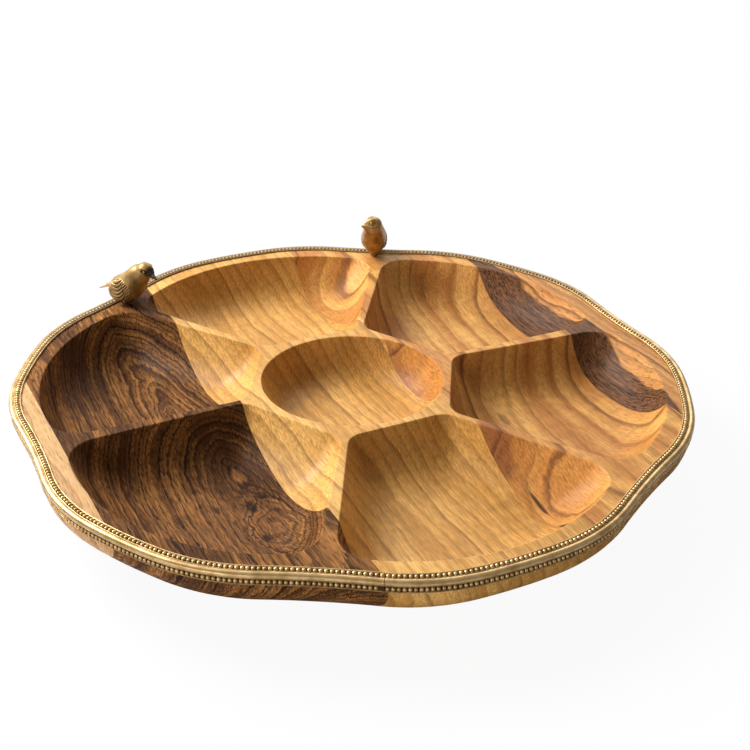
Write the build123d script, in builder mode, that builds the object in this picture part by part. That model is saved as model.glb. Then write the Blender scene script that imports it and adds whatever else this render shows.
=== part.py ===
from build123d import *

import os
from math import atan2, cos, degrees, radians, sin, sqrt

os.makedirs("parts", exist_ok=True)

# A lobed wooden snack dish, glued up from five boards, with a beaded brass strip round
# its rim and two cast brass birds. Lengths are in millimetres and bearings in degrees.
# +Z is up, the origin is the middle of the base, and +X runs out through a lobe.

# Rim outline, which is the inner edge of the brass strip: on each lobe a flat crown arc
# runs into two tighter shoulder arcs, and a long hollow arc crosses each notch.
lobes = 6
lobe_radius = 168.8
notch_depth = 6.4
notch_radius = lobe_radius - notch_depth
crown_arc_radius = 250.0
shoulder_arc_radius = 87.0
notch_arc_radius = 417.0

# Wood
wood_height = 39.2
edge_projection = 4.6
edge_chamfer = 1.4
rim_wall_height = 9.2
wall_foot_height = wood_height - rim_wall_height
underside_inset = 38.0
underside_height_shares = (0.0, 0.18, 0.38, 0.62, 0.84, 1.0)
underside_curve = 1.5

# Boards: they run along this bearing. Boards a and e are as wide as this where they meet
# the rim, and board c takes up what the others leave.
board_bearing = 121.1
board_a_width = 13.3
board_b_width = 92.1
board_d_width = 96.4
board_e_width = 35.0

# Petal pockets, which lie round the middle one inside the rim
pocket_depth = 23.0
middle_radius = 47.5
middle_ridge_width = 4.1
pocket_inner_distance = middle_radius + middle_ridge_width
pocket_rim_width = 7.0
pocket_outer_distance = lobe_radius - pocket_rim_width
pocket_outer_arc_radius = 106.0
pocket_middle_shift = 6.3
pocket_middle_distance = (
    pocket_inner_distance + pocket_outer_distance
) / 2 + pocket_middle_shift
pocket_inner_corner = 11.0
pocket_outer_corner = 17.0
ridge_inner_reach = 61.0
ridge_outer_reach = 136.0
ridge_inner_width = 3.0
ridge_outer_width = 7.0

# The ridges were carved by hand, so each one's two ends have bearings of their own.
ridge_inner_bearings = (30.7, 90.7, 149.6, 208.8, 271.8, 329.4)
ridge_outer_bearings = (28.9, 89.2, 151.6, 209.4, 270.9, 331.0)

# A pocket's wall: how far out its outline lies at each depth, both as shares. Above the
# wall a narrow bevel breaks the edge of the ridge.
bowl_wall_shares = (
    (0.150, 1.000),
    (0.360, 0.991),
    (0.567, 0.927),
    (0.754, 0.727),
    (0.896, 0.396),
    (1.000, 0.000),
)
crest_bevel = 0.6

# Round middle pocket, with the same kind of wall
middle_floor_radius = 9.0
middle_depth = 20.0
middle_wall_shares = (
    (0.400, 0.995),
    (0.650, 0.940),
    (0.790, 0.780),
    (0.900, 0.480),
)

# Brass rim strip: a bent sheet that carries two rows of beads and a half-round moulding.
# The bead rows are plain round beadings here.
strip_thickness = 0.7
strip_skirt_height = 5.2
strip_lower_edge_height = wood_height - strip_skirt_height
moulding_radius = 2.05
moulding_inset = 0.45
moulding_drop = 1.15
bead_radius = 0.95
upper_bead_distance = 1.75
upper_bead_sink = 0.3
lower_bead_sink = 0.4
lower_bead_rise = 1.55
strip_seam_bearing = -80.3
strip_seam_gap = 0.25

# Bird, in its own frame: the foot stands at the origin and the bird faces +X. Its body
# and head are turned shapes about a line that climbs from the rump to the crown.
bird_bearings = (90.0, 150.0)
bird_head_turns = (-50.0, -12.0)
bird_foot_radius = 2.8
bird_foot_height = 5.0
bird_seat_gap = 0.3
bird_rump_back = 11.0
bird_rump_height = 6.4
bird_slope = 37.0
bird_body_length = 27.0
bird_body_radius = 8.0
bird_body_shares = (
    (0.00, 0.00),
    (0.05, 0.36),
    (0.16, 0.66),
    (0.34, 0.93),
    (0.52, 1.00),
    (0.72, 0.90),
    (0.90, 0.66),
    (1.00, 0.50),
)
bird_head_radius = 5.3
bird_head_forward = 10.6
bird_head_height = 24.9
beak_length = 4.6
beak_radius = 1.6
beak_dip = 10.0
beak_rise = 0.4
eye_radius = 1.0
eye_spread = 52.0
eye_lift = 12.0
wing_length = 20.0
wing_height = 10.5
wing_rise = 1.0
wing_back = 2.2
wing_lift = 13.2
tail_length = 13.0
tail_root_width = 7.0
tail_tip_width = 4.6
tail_root_thickness = 3.4
tail_tip_thickness = 1.4
tail_root_back = 8.5
tail_root_height = 9.2
tail_dip = 12.0

# Threaded stud that holds each bird down
stud_radius = 1.2
stud_in_wood = 10.0
stud_in_bird = 6.0
stud_thread_pitch = 0.8
stud_thread_depth = 0.18
stud_clearance = 0.1
stud_end_clearance = 0.5

overrun = 5.0


def polar(distance, bearing):
    """The point at this distance from the origin along this bearing."""
    return Vector(distance * cos(radians(bearing)), distance * sin(radians(bearing)))


# Centres of the three kinds of rim arc on the lobe along +X. The shoulder's centre is
# where it touches the crown from inside and the notch arc from outside.
lobe_pitch = 360 / lobes
crown_centre = Vector(lobe_radius - crown_arc_radius, 0)
notch_centre = polar(notch_radius + notch_arc_radius, lobe_pitch / 2)
span = notch_centre - crown_centre
crown_to_shoulder = crown_arc_radius - shoulder_arc_radius
shoulder_to_notch = shoulder_arc_radius + notch_arc_radius
along = (crown_to_shoulder**2 - shoulder_to_notch**2 + span.length**2) / (2 * span.length)
across = sqrt(crown_to_shoulder**2 - along**2)
shoulder_centre = crown_centre + Vector(
    (span.X * along + span.Y * across) / span.length,
    (span.Y * along - span.X * across) / span.length,
)
crown_end = degrees(atan2(shoulder_centre.Y, shoulder_centre.X - crown_centre.X))
shoulder_end = degrees(
    atan2(notch_centre.Y - shoulder_centre.Y, notch_centre.X - shoulder_centre.X)
)


def rim_outline(outward):
    """Draws the lobed outline, moved outward from the strip's inner edge, from +X round."""
    crown = crown_arc_radius + outward
    shoulder = shoulder_arc_radius + outward
    notch = notch_arc_radius - outward
    shoulder_sweep = shoulder_end - crown_end
    notch_sweep = lobe_pitch - 2 * shoulder_end
    for lobe in range(lobes):
        turn = lobe * lobe_pitch
        middle = crown_centre.rotate(Axis.Z, turn)
        next_middle = crown_centre.rotate(Axis.Z, turn + lobe_pitch)
        leading = shoulder_centre.rotate(Axis.Z, turn)
        hollow = notch_centre.rotate(Axis.Z, turn)
        trailing = Vector(shoulder_centre.X, -shoulder_centre.Y).rotate(
            Axis.Z, turn + lobe_pitch
        )
        CenterArc(middle, crown, turn, crown_end)
        CenterArc(leading, shoulder, turn + crown_end, shoulder_sweep)
        CenterArc(hollow, notch, turn + shoulder_end + 180, notch_sweep)
        CenterArc(trailing, shoulder, turn + lobe_pitch - shoulder_end, shoulder_sweep)
        CenterArc(next_middle, crown, turn + lobe_pitch - crown_end, crown_end)


def pocket_outline(pocket):
    """The outline at the top of one petal pocket's wall, between its two ridges."""
    axis_bearing = pocket * lobe_pitch
    corners = []
    for ridge, side in ((pocket - 1, 1), (pocket, -1)):
        turn = 360 if ridge < 0 else 0
        inner_bearing = ridge_inner_bearings[ridge] - turn
        outer_bearing = ridge_outer_bearings[ridge] - turn
        inner = polar(ridge_inner_reach, inner_bearing) + polar(
            ridge_inner_width / 2, inner_bearing + side * 90
        )
        outer = polar(ridge_outer_reach, outer_bearing) + polar(
            ridge_outer_width / 2, outer_bearing + side * 90
        )
        run = outer - inner
        axis = polar(1, axis_bearing)
        reach = (pocket_inner_distance - inner.dot(axis)) / run.dot(axis)
        beyond_rim = run.normalized() * lobe_radius * 2
        corners.append((inner + run * reach, inner + beyond_rim))
    (right_inner, right_outer), (left_inner, left_outer) = corners
    with BuildSketch() as outline:
        with BuildLine():
            Polyline(right_inner, right_outer, left_outer, left_inner, close=True)
        make_face()
        with Locations(
            polar(pocket_outer_distance - pocket_outer_arc_radius, axis_bearing)
        ):
            Circle(pocket_outer_arc_radius, mode=Mode.INTERSECT)
        fillet(
            outline.vertices().sort_by_distance((0, 0))[:2],
            radius=pocket_inner_corner,
        )
        fillet(
            outline.vertices().sort_by_distance((0, 0))[-2:],
            radius=pocket_outer_corner,
        )
    return outline.sketch


# Dish blank, before it is parted into boards
with BuildPart() as blank:
    for height_share in underside_height_shares:
        inset = underside_inset * (1 - height_share) ** underside_curve
        with BuildSketch(Plane.XY.offset(wall_foot_height * height_share)):
            with BuildLine():
                rim_outline(edge_projection - inset)
            make_face()
    loft()
    with BuildSketch(Plane.XY.offset(wall_foot_height)):
        with BuildLine():
            rim_outline(edge_projection)
        make_face()
    extrude(amount=wood_height - wall_foot_height)
    chamfer(blank.faces().sort_by(Axis.Z)[-1].edges(), length=edge_chamfer)

# Petal pockets
wall_top = wood_height - crest_bevel
for pocket in range(lobes):
    wall_outline = pocket_outline(pocket)
    middle = polar(pocket_middle_distance, pocket * lobe_pitch)
    with BuildPart() as petal:
        for outline_share, depth_share in bowl_wall_shares:
            drop = (pocket_depth - crest_bevel) * depth_share
            with BuildSketch(Plane.XY.offset(wall_top - drop)):
                with Locations(middle * (1 - outline_share)):
                    add(scale(wall_outline, by=outline_share, mode=Mode.PRIVATE))
        loft()
        with BuildSketch(Plane.XY.offset(wall_top)):
            add(wall_outline)
        with BuildSketch(Plane.XY.offset(wood_height)):
            offset(wall_outline, amount=crest_bevel, kind=Kind.ARC)
        loft(ruled=True)
    with blank:
        add(petal.part, mode=Mode.SUBTRACT)

# Middle pocket
with BuildPart() as bowl:
    with BuildSketch(Plane.XZ):
        with BuildLine():
            floor_height = wood_height - middle_depth
            wall = [
                (middle_radius * outline_share, wood_height - middle_depth * depth_share)
                for outline_share, depth_share in middle_wall_shares
            ]
            Polyline(
                (middle_radius, wall_top),
                (middle_radius + crest_bevel, wood_height),
                (0, wood_height),
                (0, floor_height),
                (middle_floor_radius, floor_height),
            )
            Spline(
                (middle_floor_radius, floor_height),
                *wall,
                (middle_radius, wall_top),
                tangents=((1, 0), (middle_radius, middle_depth * 2)),
            )
        make_face()
    revolve(axis=Axis.Z)
with blank:
    add(bowl.part, mode=Mode.SUBTRACT)

# Where the birds stand: each one's foot is just inside the strip and it faces the middle
foot_distance = notch_radius - bird_foot_radius - bird_seat_gap
bird_seats = [
    Plane(
        origin=polar(foot_distance, bearing) + Vector(0, 0, wood_height),
        x_dir=polar(-1, bearing),
    )
    for bearing in bird_bearings
]
stud_hole_radius = stud_radius + stud_clearance
with blank:
    with Locations(*bird_seats):
        Hole(radius=stud_hole_radius, depth=stud_in_wood + stud_end_clearance)

# Boards a to e, which lie side by side and are glued face to face
notch_face = notch_radius + edge_projection
line_ab = board_a_width - notch_face
line_bc = line_ab + board_b_width
line_de = notch_face - board_e_width
line_cd = line_de - board_d_width
board_sides = (None, line_ab, line_bc, line_cd, line_de, None)


def glue_plane(distance):
    """The upright plane of the glue line at this distance from the middle of the dish."""
    across_bearing = board_bearing - 90
    return Plane(origin=polar(distance, across_bearing), z_dir=polar(1, across_bearing))


for letter, near, far in zip("abcde", board_sides, board_sides[1:]):
    with BuildPart() as board:
        add(blank.part)
        if near is not None:
            split(bisect_by=glue_plane(near), keep=Keep.TOP)
        if far is not None:
            split(bisect_by=glue_plane(far), keep=Keep.BOTTOM)
    board.part.label = f"board_{letter}"
    export_step(board.part, f"parts/board_{letter}.step")

# Brass strip, swept round the rim and cut through at its one butt joint
strip_top = wood_height + strip_thickness
strip_face = lobe_radius + edge_projection
strip_reach = strip_face - moulding_inset + moulding_radius
with BuildPart() as rim_strip:
    with BuildLine() as rim:
        rim_outline(0)
    with BuildSketch(Plane.XZ):
        with BuildLine():
            wood_side = Polyline(
                (lobe_radius, wood_height),
                (strip_face - edge_chamfer, wood_height),
                (strip_face, wood_height - edge_chamfer),
                (strip_face, strip_lower_edge_height),
            )
            offset(wood_side, amount=strip_thickness, side=Side.LEFT, kind=Kind.INTERSECTION)
        make_face()
        with Locations((strip_face - moulding_inset, wood_height - moulding_drop)):
            Circle(moulding_radius)
        with Locations(
            (lobe_radius + upper_bead_distance, strip_top - upper_bead_sink),
            (strip_face + lower_bead_sink, strip_lower_edge_height + lower_bead_rise),
        ):
            Circle(bead_radius)
        with BuildLine():
            Polyline(
                *wood_side.vertices(),
                (lobe_radius, strip_lower_edge_height),
                close=True,
            )
        make_face(mode=Mode.SUBTRACT)
    sweep(path=rim.wire())
    Box(
        strip_reach,
        strip_seam_gap,
        strip_top + overrun,
        rotation=(0, 0, strip_seam_bearing),
        align=(Align.MIN, Align.CENTER, Align.MIN),
        mode=Mode.SUBTRACT,
    )
rim_strip.part.label = "rim_strip"
export_step(rim_strip.part, "parts/rim_strip.step")


def body_outline(radius):
    """Draws half of a bird's lengthways section, with its widest place this far out."""
    shoulders = [
        (bird_body_length * length_share, radius * radius_share)
        for length_share, radius_share in bird_body_shares
    ]
    Spline(*shoulders)
    Polyline(shoulders[-1], (bird_body_length, 0), (0, 0))


# Birds, cast in one piece each, with a hole up through the foot for the stud
for name, seat, head_turn in zip(("back", "left"), bird_seats, bird_head_turns):
    stand = seat.location
    body_plane = Plane(
        stand * Location((-bird_rump_back, 0, bird_rump_height), (90, 0, bird_slope))
    )
    body_axis = Axis(body_plane.origin, body_plane.x_dir)
    wing_plane = Plane(stand * Location((-wing_back, 0, wing_lift), (90, 0, bird_slope)))
    tail_plane = Plane(
        stand * Location((-tail_root_back, 0, tail_root_height), (0, -90 - tail_dip, 0))
    )
    head = stand * Location((bird_head_forward, 0, bird_head_height), (0, 0, head_turn))
    beak = head * Location((0, 0, beak_rise), (0, 90 + beak_dip, 0))
    beak_from_middle = bird_head_radius + beak_length
    eyes = [
        head
        * Location((0, 0, 0), (0, 0, side * eye_spread))
        * Location((0, 0, 0), (0, -eye_lift, 0))
        * Location((bird_head_radius, 0, 0))
        for side in (1, -1)
    ]
    with BuildPart() as wings:
        with BuildSketch(body_plane):
            with BuildLine():
                body_outline(bird_body_radius + wing_rise)
            make_face()
        revolve(axis=body_axis)
        with BuildSketch(wing_plane):
            Ellipse(wing_length / 2, wing_height / 2)
        extrude(amount=bird_body_radius + wing_rise, both=True, mode=Mode.INTERSECT)
    with BuildPart() as bird:
        with BuildSketch(body_plane):
            with BuildLine():
                body_outline(bird_body_radius)
            make_face()
        revolve(axis=body_axis)
        add(wings.part)
        with BuildSketch(tail_plane):
            SlotOverall(tail_root_width, tail_root_thickness, rotation=90)
        with BuildSketch(tail_plane.offset(tail_length)):
            SlotOverall(tail_tip_width, tail_tip_thickness, rotation=90)
        loft()
        with Locations(stand):
            Cylinder(
                bird_foot_radius,
                bird_foot_height,
                align=(Align.CENTER, Align.CENTER, Align.MIN),
            )
        with Locations(head):
            Sphere(bird_head_radius)
        with Locations(beak):
            Cone(
                beak_radius * beak_from_middle / beak_length,
                0,
                beak_from_middle,
                align=(Align.CENTER, Align.CENTER, Align.MIN),
            )
        with Locations(*eyes):
            Sphere(eye_radius)
        with Locations(-seat):
            Hole(radius=stud_hole_radius, depth=stud_in_bird + stud_end_clearance)
    bird.part.label = f"bird_{name}"
    export_step(bird.part, f"parts/bird_{name}.step")

# Studs, threaded from end to end
stud_length = stud_in_wood + stud_in_bird
threads = round(stud_length / stud_thread_pitch)
for name, seat in zip(("back", "left"), bird_seats):
    stud_foot = seat.offset(-stud_in_wood)
    with BuildPart() as stud:
        with BuildSketch(Plane(stud_foot.location * Location((0, 0, 0), (90, 0, 0)))):
            with BuildLine():
                crest_and_root = []
                for thread in range(threads):
                    height = stud_length * thread / threads
                    half_pitch = stud_length / threads / 2
                    crest_and_root += [
                        (stud_radius, height),
                        (stud_radius - stud_thread_depth, height + half_pitch),
                    ]
                Polyline(
                    (0, 0),
                    *crest_and_root,
                    (stud_radius, stud_length),
                    (0, stud_length),
                    close=True,
                )
            make_face()
        revolve(axis=Axis(stud_foot.origin, stud_foot.z_dir))
    stud.part.label = f"bird_stud_{name}"
    export_step(stud.part, f"parts/bird_stud_{name}.step")
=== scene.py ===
import logging
import math
from dataclasses import dataclass, field
from enum import Enum
from typing import Callable, Mapping, Sequence, Union

import bmesh
import bpy
import numpy as np
from mathutils import Matrix, Vector, noise


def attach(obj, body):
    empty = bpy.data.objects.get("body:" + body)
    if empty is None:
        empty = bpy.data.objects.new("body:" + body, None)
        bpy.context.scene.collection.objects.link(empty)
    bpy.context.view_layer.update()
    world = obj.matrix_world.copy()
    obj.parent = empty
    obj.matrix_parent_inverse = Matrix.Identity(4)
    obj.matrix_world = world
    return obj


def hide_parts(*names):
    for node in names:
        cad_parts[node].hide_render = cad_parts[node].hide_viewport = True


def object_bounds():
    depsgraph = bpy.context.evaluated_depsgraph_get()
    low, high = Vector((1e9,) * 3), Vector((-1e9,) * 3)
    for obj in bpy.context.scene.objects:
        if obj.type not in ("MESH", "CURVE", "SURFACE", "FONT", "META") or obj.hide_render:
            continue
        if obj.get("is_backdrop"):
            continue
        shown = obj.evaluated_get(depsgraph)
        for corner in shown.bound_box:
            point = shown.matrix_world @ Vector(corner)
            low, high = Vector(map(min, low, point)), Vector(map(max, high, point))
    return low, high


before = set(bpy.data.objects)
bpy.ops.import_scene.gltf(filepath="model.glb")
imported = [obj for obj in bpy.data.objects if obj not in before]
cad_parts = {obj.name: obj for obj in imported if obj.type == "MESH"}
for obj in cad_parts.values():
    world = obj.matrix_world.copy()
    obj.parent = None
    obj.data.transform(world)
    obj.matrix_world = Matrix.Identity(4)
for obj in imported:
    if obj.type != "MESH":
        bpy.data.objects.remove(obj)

log = logging.getLogger("snack_dish")

MM = 0.001
GRAIN_BEARING = 121.1
WOOD_HEIGHT = 39.2
EDGE_PROJECTION = 4.6
CHAMFER = 1.4
PETALS = 6
PETAL_PITCH = 360.0 / PETALS
BACK_BEARING = 90.0
LEFT_BEARING = 150.0
BIRD_DISTANCE = 159.3
HOLE_RADIUS = 1.3
HOLE_SIDES = 24
UP = (0.0, 0.0, 1.0)
WHITE = (1.0, 1.0, 1.0, 1.0)

Level = Union[float, np.ndarray]


def polar(distance: float, bearing: float) -> np.ndarray:
    """A point in plan, from its distance from the middle and its bearing in degrees."""
    angle = math.radians(bearing)
    return np.array([distance * math.cos(angle), distance * math.sin(angle)])


def circle(radius: float, sides: int) -> np.ndarray:
    """Points anticlockwise round a circle in plan, from +X on."""
    return np.array([polar(radius, 360.0 / sides * step) for step in range(sides)])


def lifted(points: np.ndarray, height: float) -> np.ndarray:
    """Raises points in plan to a height."""
    return np.column_stack([points, np.full(len(points), height)])


def in_scene(name: str, data: bpy.types.ID) -> bpy.types.Object:
    """Puts a mesh, a light or a camera into the scene.

    Args:
        name: The new object's name.
        data: What it shows.

    Returns:
        The object.
    """
    made = bpy.data.objects.new(name, data)
    bpy.context.scene.collection.objects.link(made)
    return made


def mesh_data(name: str, mesh: bmesh.types.BMesh) -> bpy.types.Mesh:
    """Ends work on a mesh.

    Args:
        name: The finished data's name.
        mesh: The worked mesh, which is freed.

    Returns:
        The finished data.
    """
    data = bpy.data.meshes.new(name)
    mesh.to_mesh(data)
    mesh.free()
    return data


def smooth(data: bpy.types.Mesh) -> None:
    """Shades every face smooth."""
    data.polygons.foreach_set("use_smooth", [True] * len(data.polygons))


def values_of(
    items: bpy.types.bpy_prop_collection, name: str, width: int, kind: type = float
) -> np.ndarray:
    """Reads one property of every vertex, edge, face or corner.

    Args:
        items: What has the property.
        name: The property.
        width: How many numbers it holds.
        kind: The kind of number.

    Returns:
        The values, one row each.
    """
    flat = np.zeros(len(items) * width, dtype=kind)
    items.foreach_get(name, flat)
    return flat.reshape(-1, width)


def bridge(
    mesh: bmesh.types.BMesh, rings: Sequence[Sequence[bmesh.types.BMVert]]
) -> None:
    """Joins each closed ring of vertices to the next with four-sided faces.

    Args:
        mesh: The mesh.
        rings: Rings with as many vertices each.
    """
    for low, high in zip(rings, rings[1:]):
        for step, vert in enumerate(low):
            after = (step + 1) % len(low)
            mesh.faces.new((vert, low[after], high[after], high[step]))


def ramp(values: np.ndarray, start: Level, width: float) -> np.ndarray:
    """Levels that go evenly from 0 at the start to 1 a width further on."""
    return np.clip((values - start) / width, 0, 1)


def bell(values: np.ndarray, middle: Level, width: float) -> np.ndarray:
    """Levels that make a smooth hump of height 1, as broad as the width each way."""
    return np.exp(-(((values - middle) / width) ** 2))


def shade(red: int, green: int, blue: int) -> tuple[float, float, float, float]:
    """Turns a screen colour into the linear one that shaders take.

    Args:
        red: Red, 0 to 255.
        green: Green, 0 to 255.
        blue: Blue, 0 to 255.

    Returns:
        Linear red, green and blue, and an alpha of 1.
    """

    def linear(part: int) -> float:
        """One channel."""
        level = part / 255
        return level / 12.92 if level <= 0.04045 else ((level + 0.055) / 1.055) ** 2.4

    return (linear(red), linear(green), linear(blue), 1.0)


Colour = tuple[float, float, float, float]
Term = Union["Signal", float, int, Sequence[float]]


@dataclass(frozen=True)
class Signal:
    """One output socket of a shader tree, which works in sums like a number."""

    tree: "ShaderTree"
    socket: bpy.types.NodeSocket

    def sum_with(self, operation: str, *terms: Term) -> "Signal":
        """Puts terms through a Math node."""
        inputs = dict(enumerate(terms))
        return self.tree.node("ShaderNodeMath", {"operation": operation}, inputs)

    def __add__(self, other: Term) -> "Signal":
        """Sum."""
        return self.sum_with("ADD", self, other)

    __radd__ = __add__

    def __sub__(self, other: Term) -> "Signal":
        """Difference."""
        return self.sum_with("SUBTRACT", self, other)

    def __rsub__(self, other: Term) -> "Signal":
        """Difference from a number."""
        return self.sum_with("SUBTRACT", other, self)

    def __mul__(self, other: Term) -> "Signal":
        """Product."""
        return self.sum_with("MULTIPLY", self, other)

    __rmul__ = __mul__

    def __truediv__(self, other: Term) -> "Signal":
        """Quotient."""
        return self.sum_with("DIVIDE", self, other)

    def __rtruediv__(self, other: Term) -> "Signal":
        """Quotient of a number."""
        return self.sum_with("DIVIDE", other, self)

    def fraction(self) -> "Signal":
        """What is left after the whole number."""
        return self.sum_with("FRACT", self)

    def root(self) -> "Signal":
        """Square root."""
        return self.sum_with("SQRT", self)

    def step(self, low: float, high: float) -> "Signal":
        """Rises smoothly from 0 to 1.

        Args:
            low: Where the rise starts.
            high: Where it ends; lower than low for a fall.

        Returns:
            The smoothed level.
        """
        settings = {"interpolation_type": "SMOOTHSTEP"}
        if low < high:
            return self.tree.node(
                "ShaderNodeMapRange", settings, {"Value": self, 1: low, 2: high}
            )
        return 1.0 - self.step(high, low)


class ShaderTree:
    """A node tree of a material or a world, built from Python expressions."""

    def __init__(self, owner: Union[bpy.types.Material, bpy.types.World]) -> None:
        """Starts with an empty tree.

        Args:
            owner: What the tree belongs to.
        """
        owner.use_nodes = True
        self.owner = owner
        self.nodes = owner.node_tree.nodes
        self.links = owner.node_tree.links
        self.nodes.clear()

    def node(
        self,
        kind: str,
        settings: Mapping[str, object] | None = None,
        inputs: Mapping[Union[int, str], Term] | None = None,
        output: Union[int, str] = 0,
    ) -> Signal:
        """Adds one node.

        Args:
            kind: The node's type name.
            settings: Its properties, set before its sockets.
            inputs: A value or a signal for each named or numbered input.
            output: The output wanted.

        Returns:
            That output.
        """
        made = self.nodes.new(kind)
        for name, value in (settings or {}).items():
            setattr(made, name, value)
        for name, value in (inputs or {}).items():
            if isinstance(value, Signal):
                self.links.new(value.socket, made.inputs[name])
            else:
                made.inputs[name].default_value = value
        return Signal(self, made.outputs[output])

    def vector(self, operation: str, *terms: Term, output: int = 0) -> Signal:
        """Puts terms through a Vector Math node; output 0 is its vector, 1 its value."""
        inputs = dict(enumerate(terms))
        return self.node("ShaderNodeVectorMath", {"operation": operation}, inputs, output)

    def dot(self, vector: Signal, direction: Sequence[float]) -> Signal:
        """How far a vector reaches along a direction."""
        return self.vector("DOT_PRODUCT", vector, tuple(direction), output=1)

    def scaled(self, vector: Signal, factor: float) -> Signal:
        """A vector times a number."""
        inputs = {0: vector, "Scale": factor}
        return self.node("ShaderNodeVectorMath", {"operation": "SCALE"}, inputs)

    def joined(self, x: Term, y: Term, z: Term) -> Signal:
        """A vector from three signals."""
        return self.node("ShaderNodeCombineXYZ", None, {0: x, 1: y, 2: z})

    def mixed(self, amount: Term, first: Term, second: Term, how: str = "MIX") -> Signal:
        """Blends two colours: 0 gives the first, 1 the second."""
        settings = {"data_type": "RGBA", "blend_type": how, "clamp_factor": True}
        return self.node("ShaderNodeMix", settings, {0: amount, 6: first, 7: second}, 2)

    def grain_noise(self, place: Signal, detail: float, rough: float = 0.55) -> Signal:
        """Noise from about 0 to 1, at a place in units of its coarsest feature."""
        inputs = {"Vector": place, "Scale": 1.0, "Detail": detail, "Roughness": rough}
        return self.node("ShaderNodeTexNoise", {"noise_dimensions": "3D"}, inputs)

    def place_mm(self) -> Signal:
        """The place on the object, in millimetres."""
        place = self.node("ShaderNodeTexCoord", output="Object")
        return self.scaled(place, 1 / MM)

    def finish(
        self, inputs: Mapping[str, Term], bump: Signal | None = None, depth: float = 0.0
    ) -> bpy.types.Material:
        """Ends the tree in a Principled shader.

        Args:
            inputs: Its sockets.
            bump: A height, in millimetres, or None.
            depth: How much of that height shows, 0 to 1.

        Returns:
            The material.
        """
        sockets = dict(inputs)
        if bump is not None:
            height = {"Strength": depth, "Distance": MM, "Height": bump}
            sockets["Normal"] = self.node("ShaderNodeBump", None, height)
        self.output(self.node("ShaderNodeBsdfPrincipled", None, sockets))
        return self.owner

    def output(self, surface: Signal, kind: str = "ShaderNodeOutputMaterial") -> None:
        """Links a shader to an output node of the kind named."""
        made = self.nodes.new(kind)
        self.links.new(surface.socket, made.inputs["Surface"])


class Grain(Enum):
    """Noise drawn out along the grain: length, width, detail and roughness."""

    MOTTLE = (60.0, 22.0, 3.0, 0.5)
    FIBRE = (30.0, 0.9, 3.0, 0.6)
    STREAK = (7.0, 0.45, 1.0, 0.5)
    PORE = (7.0, 0.55, 1.0, 0.4)
    SHIMMER = (4.0, 13.0, 2.0, 0.5)
    EDGE = (30.0, 9.0, 3.0, 0.5)
    RIPPLE = (18.0, 9.0, 2.0, 0.5)
    JAG = (9.0, 0.9, 2.0, 0.6)


@dataclass(frozen=True)
class Knot:
    """A place where the rings swerve round something and curl."""

    x: float
    y: float
    reach: float
    push: float
    curl: float = 0.0
    height: float = 25.0
    curl_size: float = 6.0
    squeeze: tuple[float, float] = (0.65, 0.4)


@dataclass(frozen=True)
class Stain:
    """A soft-edged patch of another colour."""

    x: float
    y: float
    along: float
    across: float
    colour: Colour
    strength: float = 0.8
    ragged: float = 0.5
    tatter_size: float = 9.0
    fade: tuple[float, float] = (1.2, 0.6)


@dataclass(frozen=True)
class Heartwood:
    """A darker strip of a board, up to a ragged, bowed edge."""

    edge: float
    middle: float
    bow_radius: float
    colour: Colour
    strength: float = 0.9
    ragged: float = 5.0
    softness: float = 0.6
    coarser: float = 3.0
    veins_outside: float = 0.2


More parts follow.
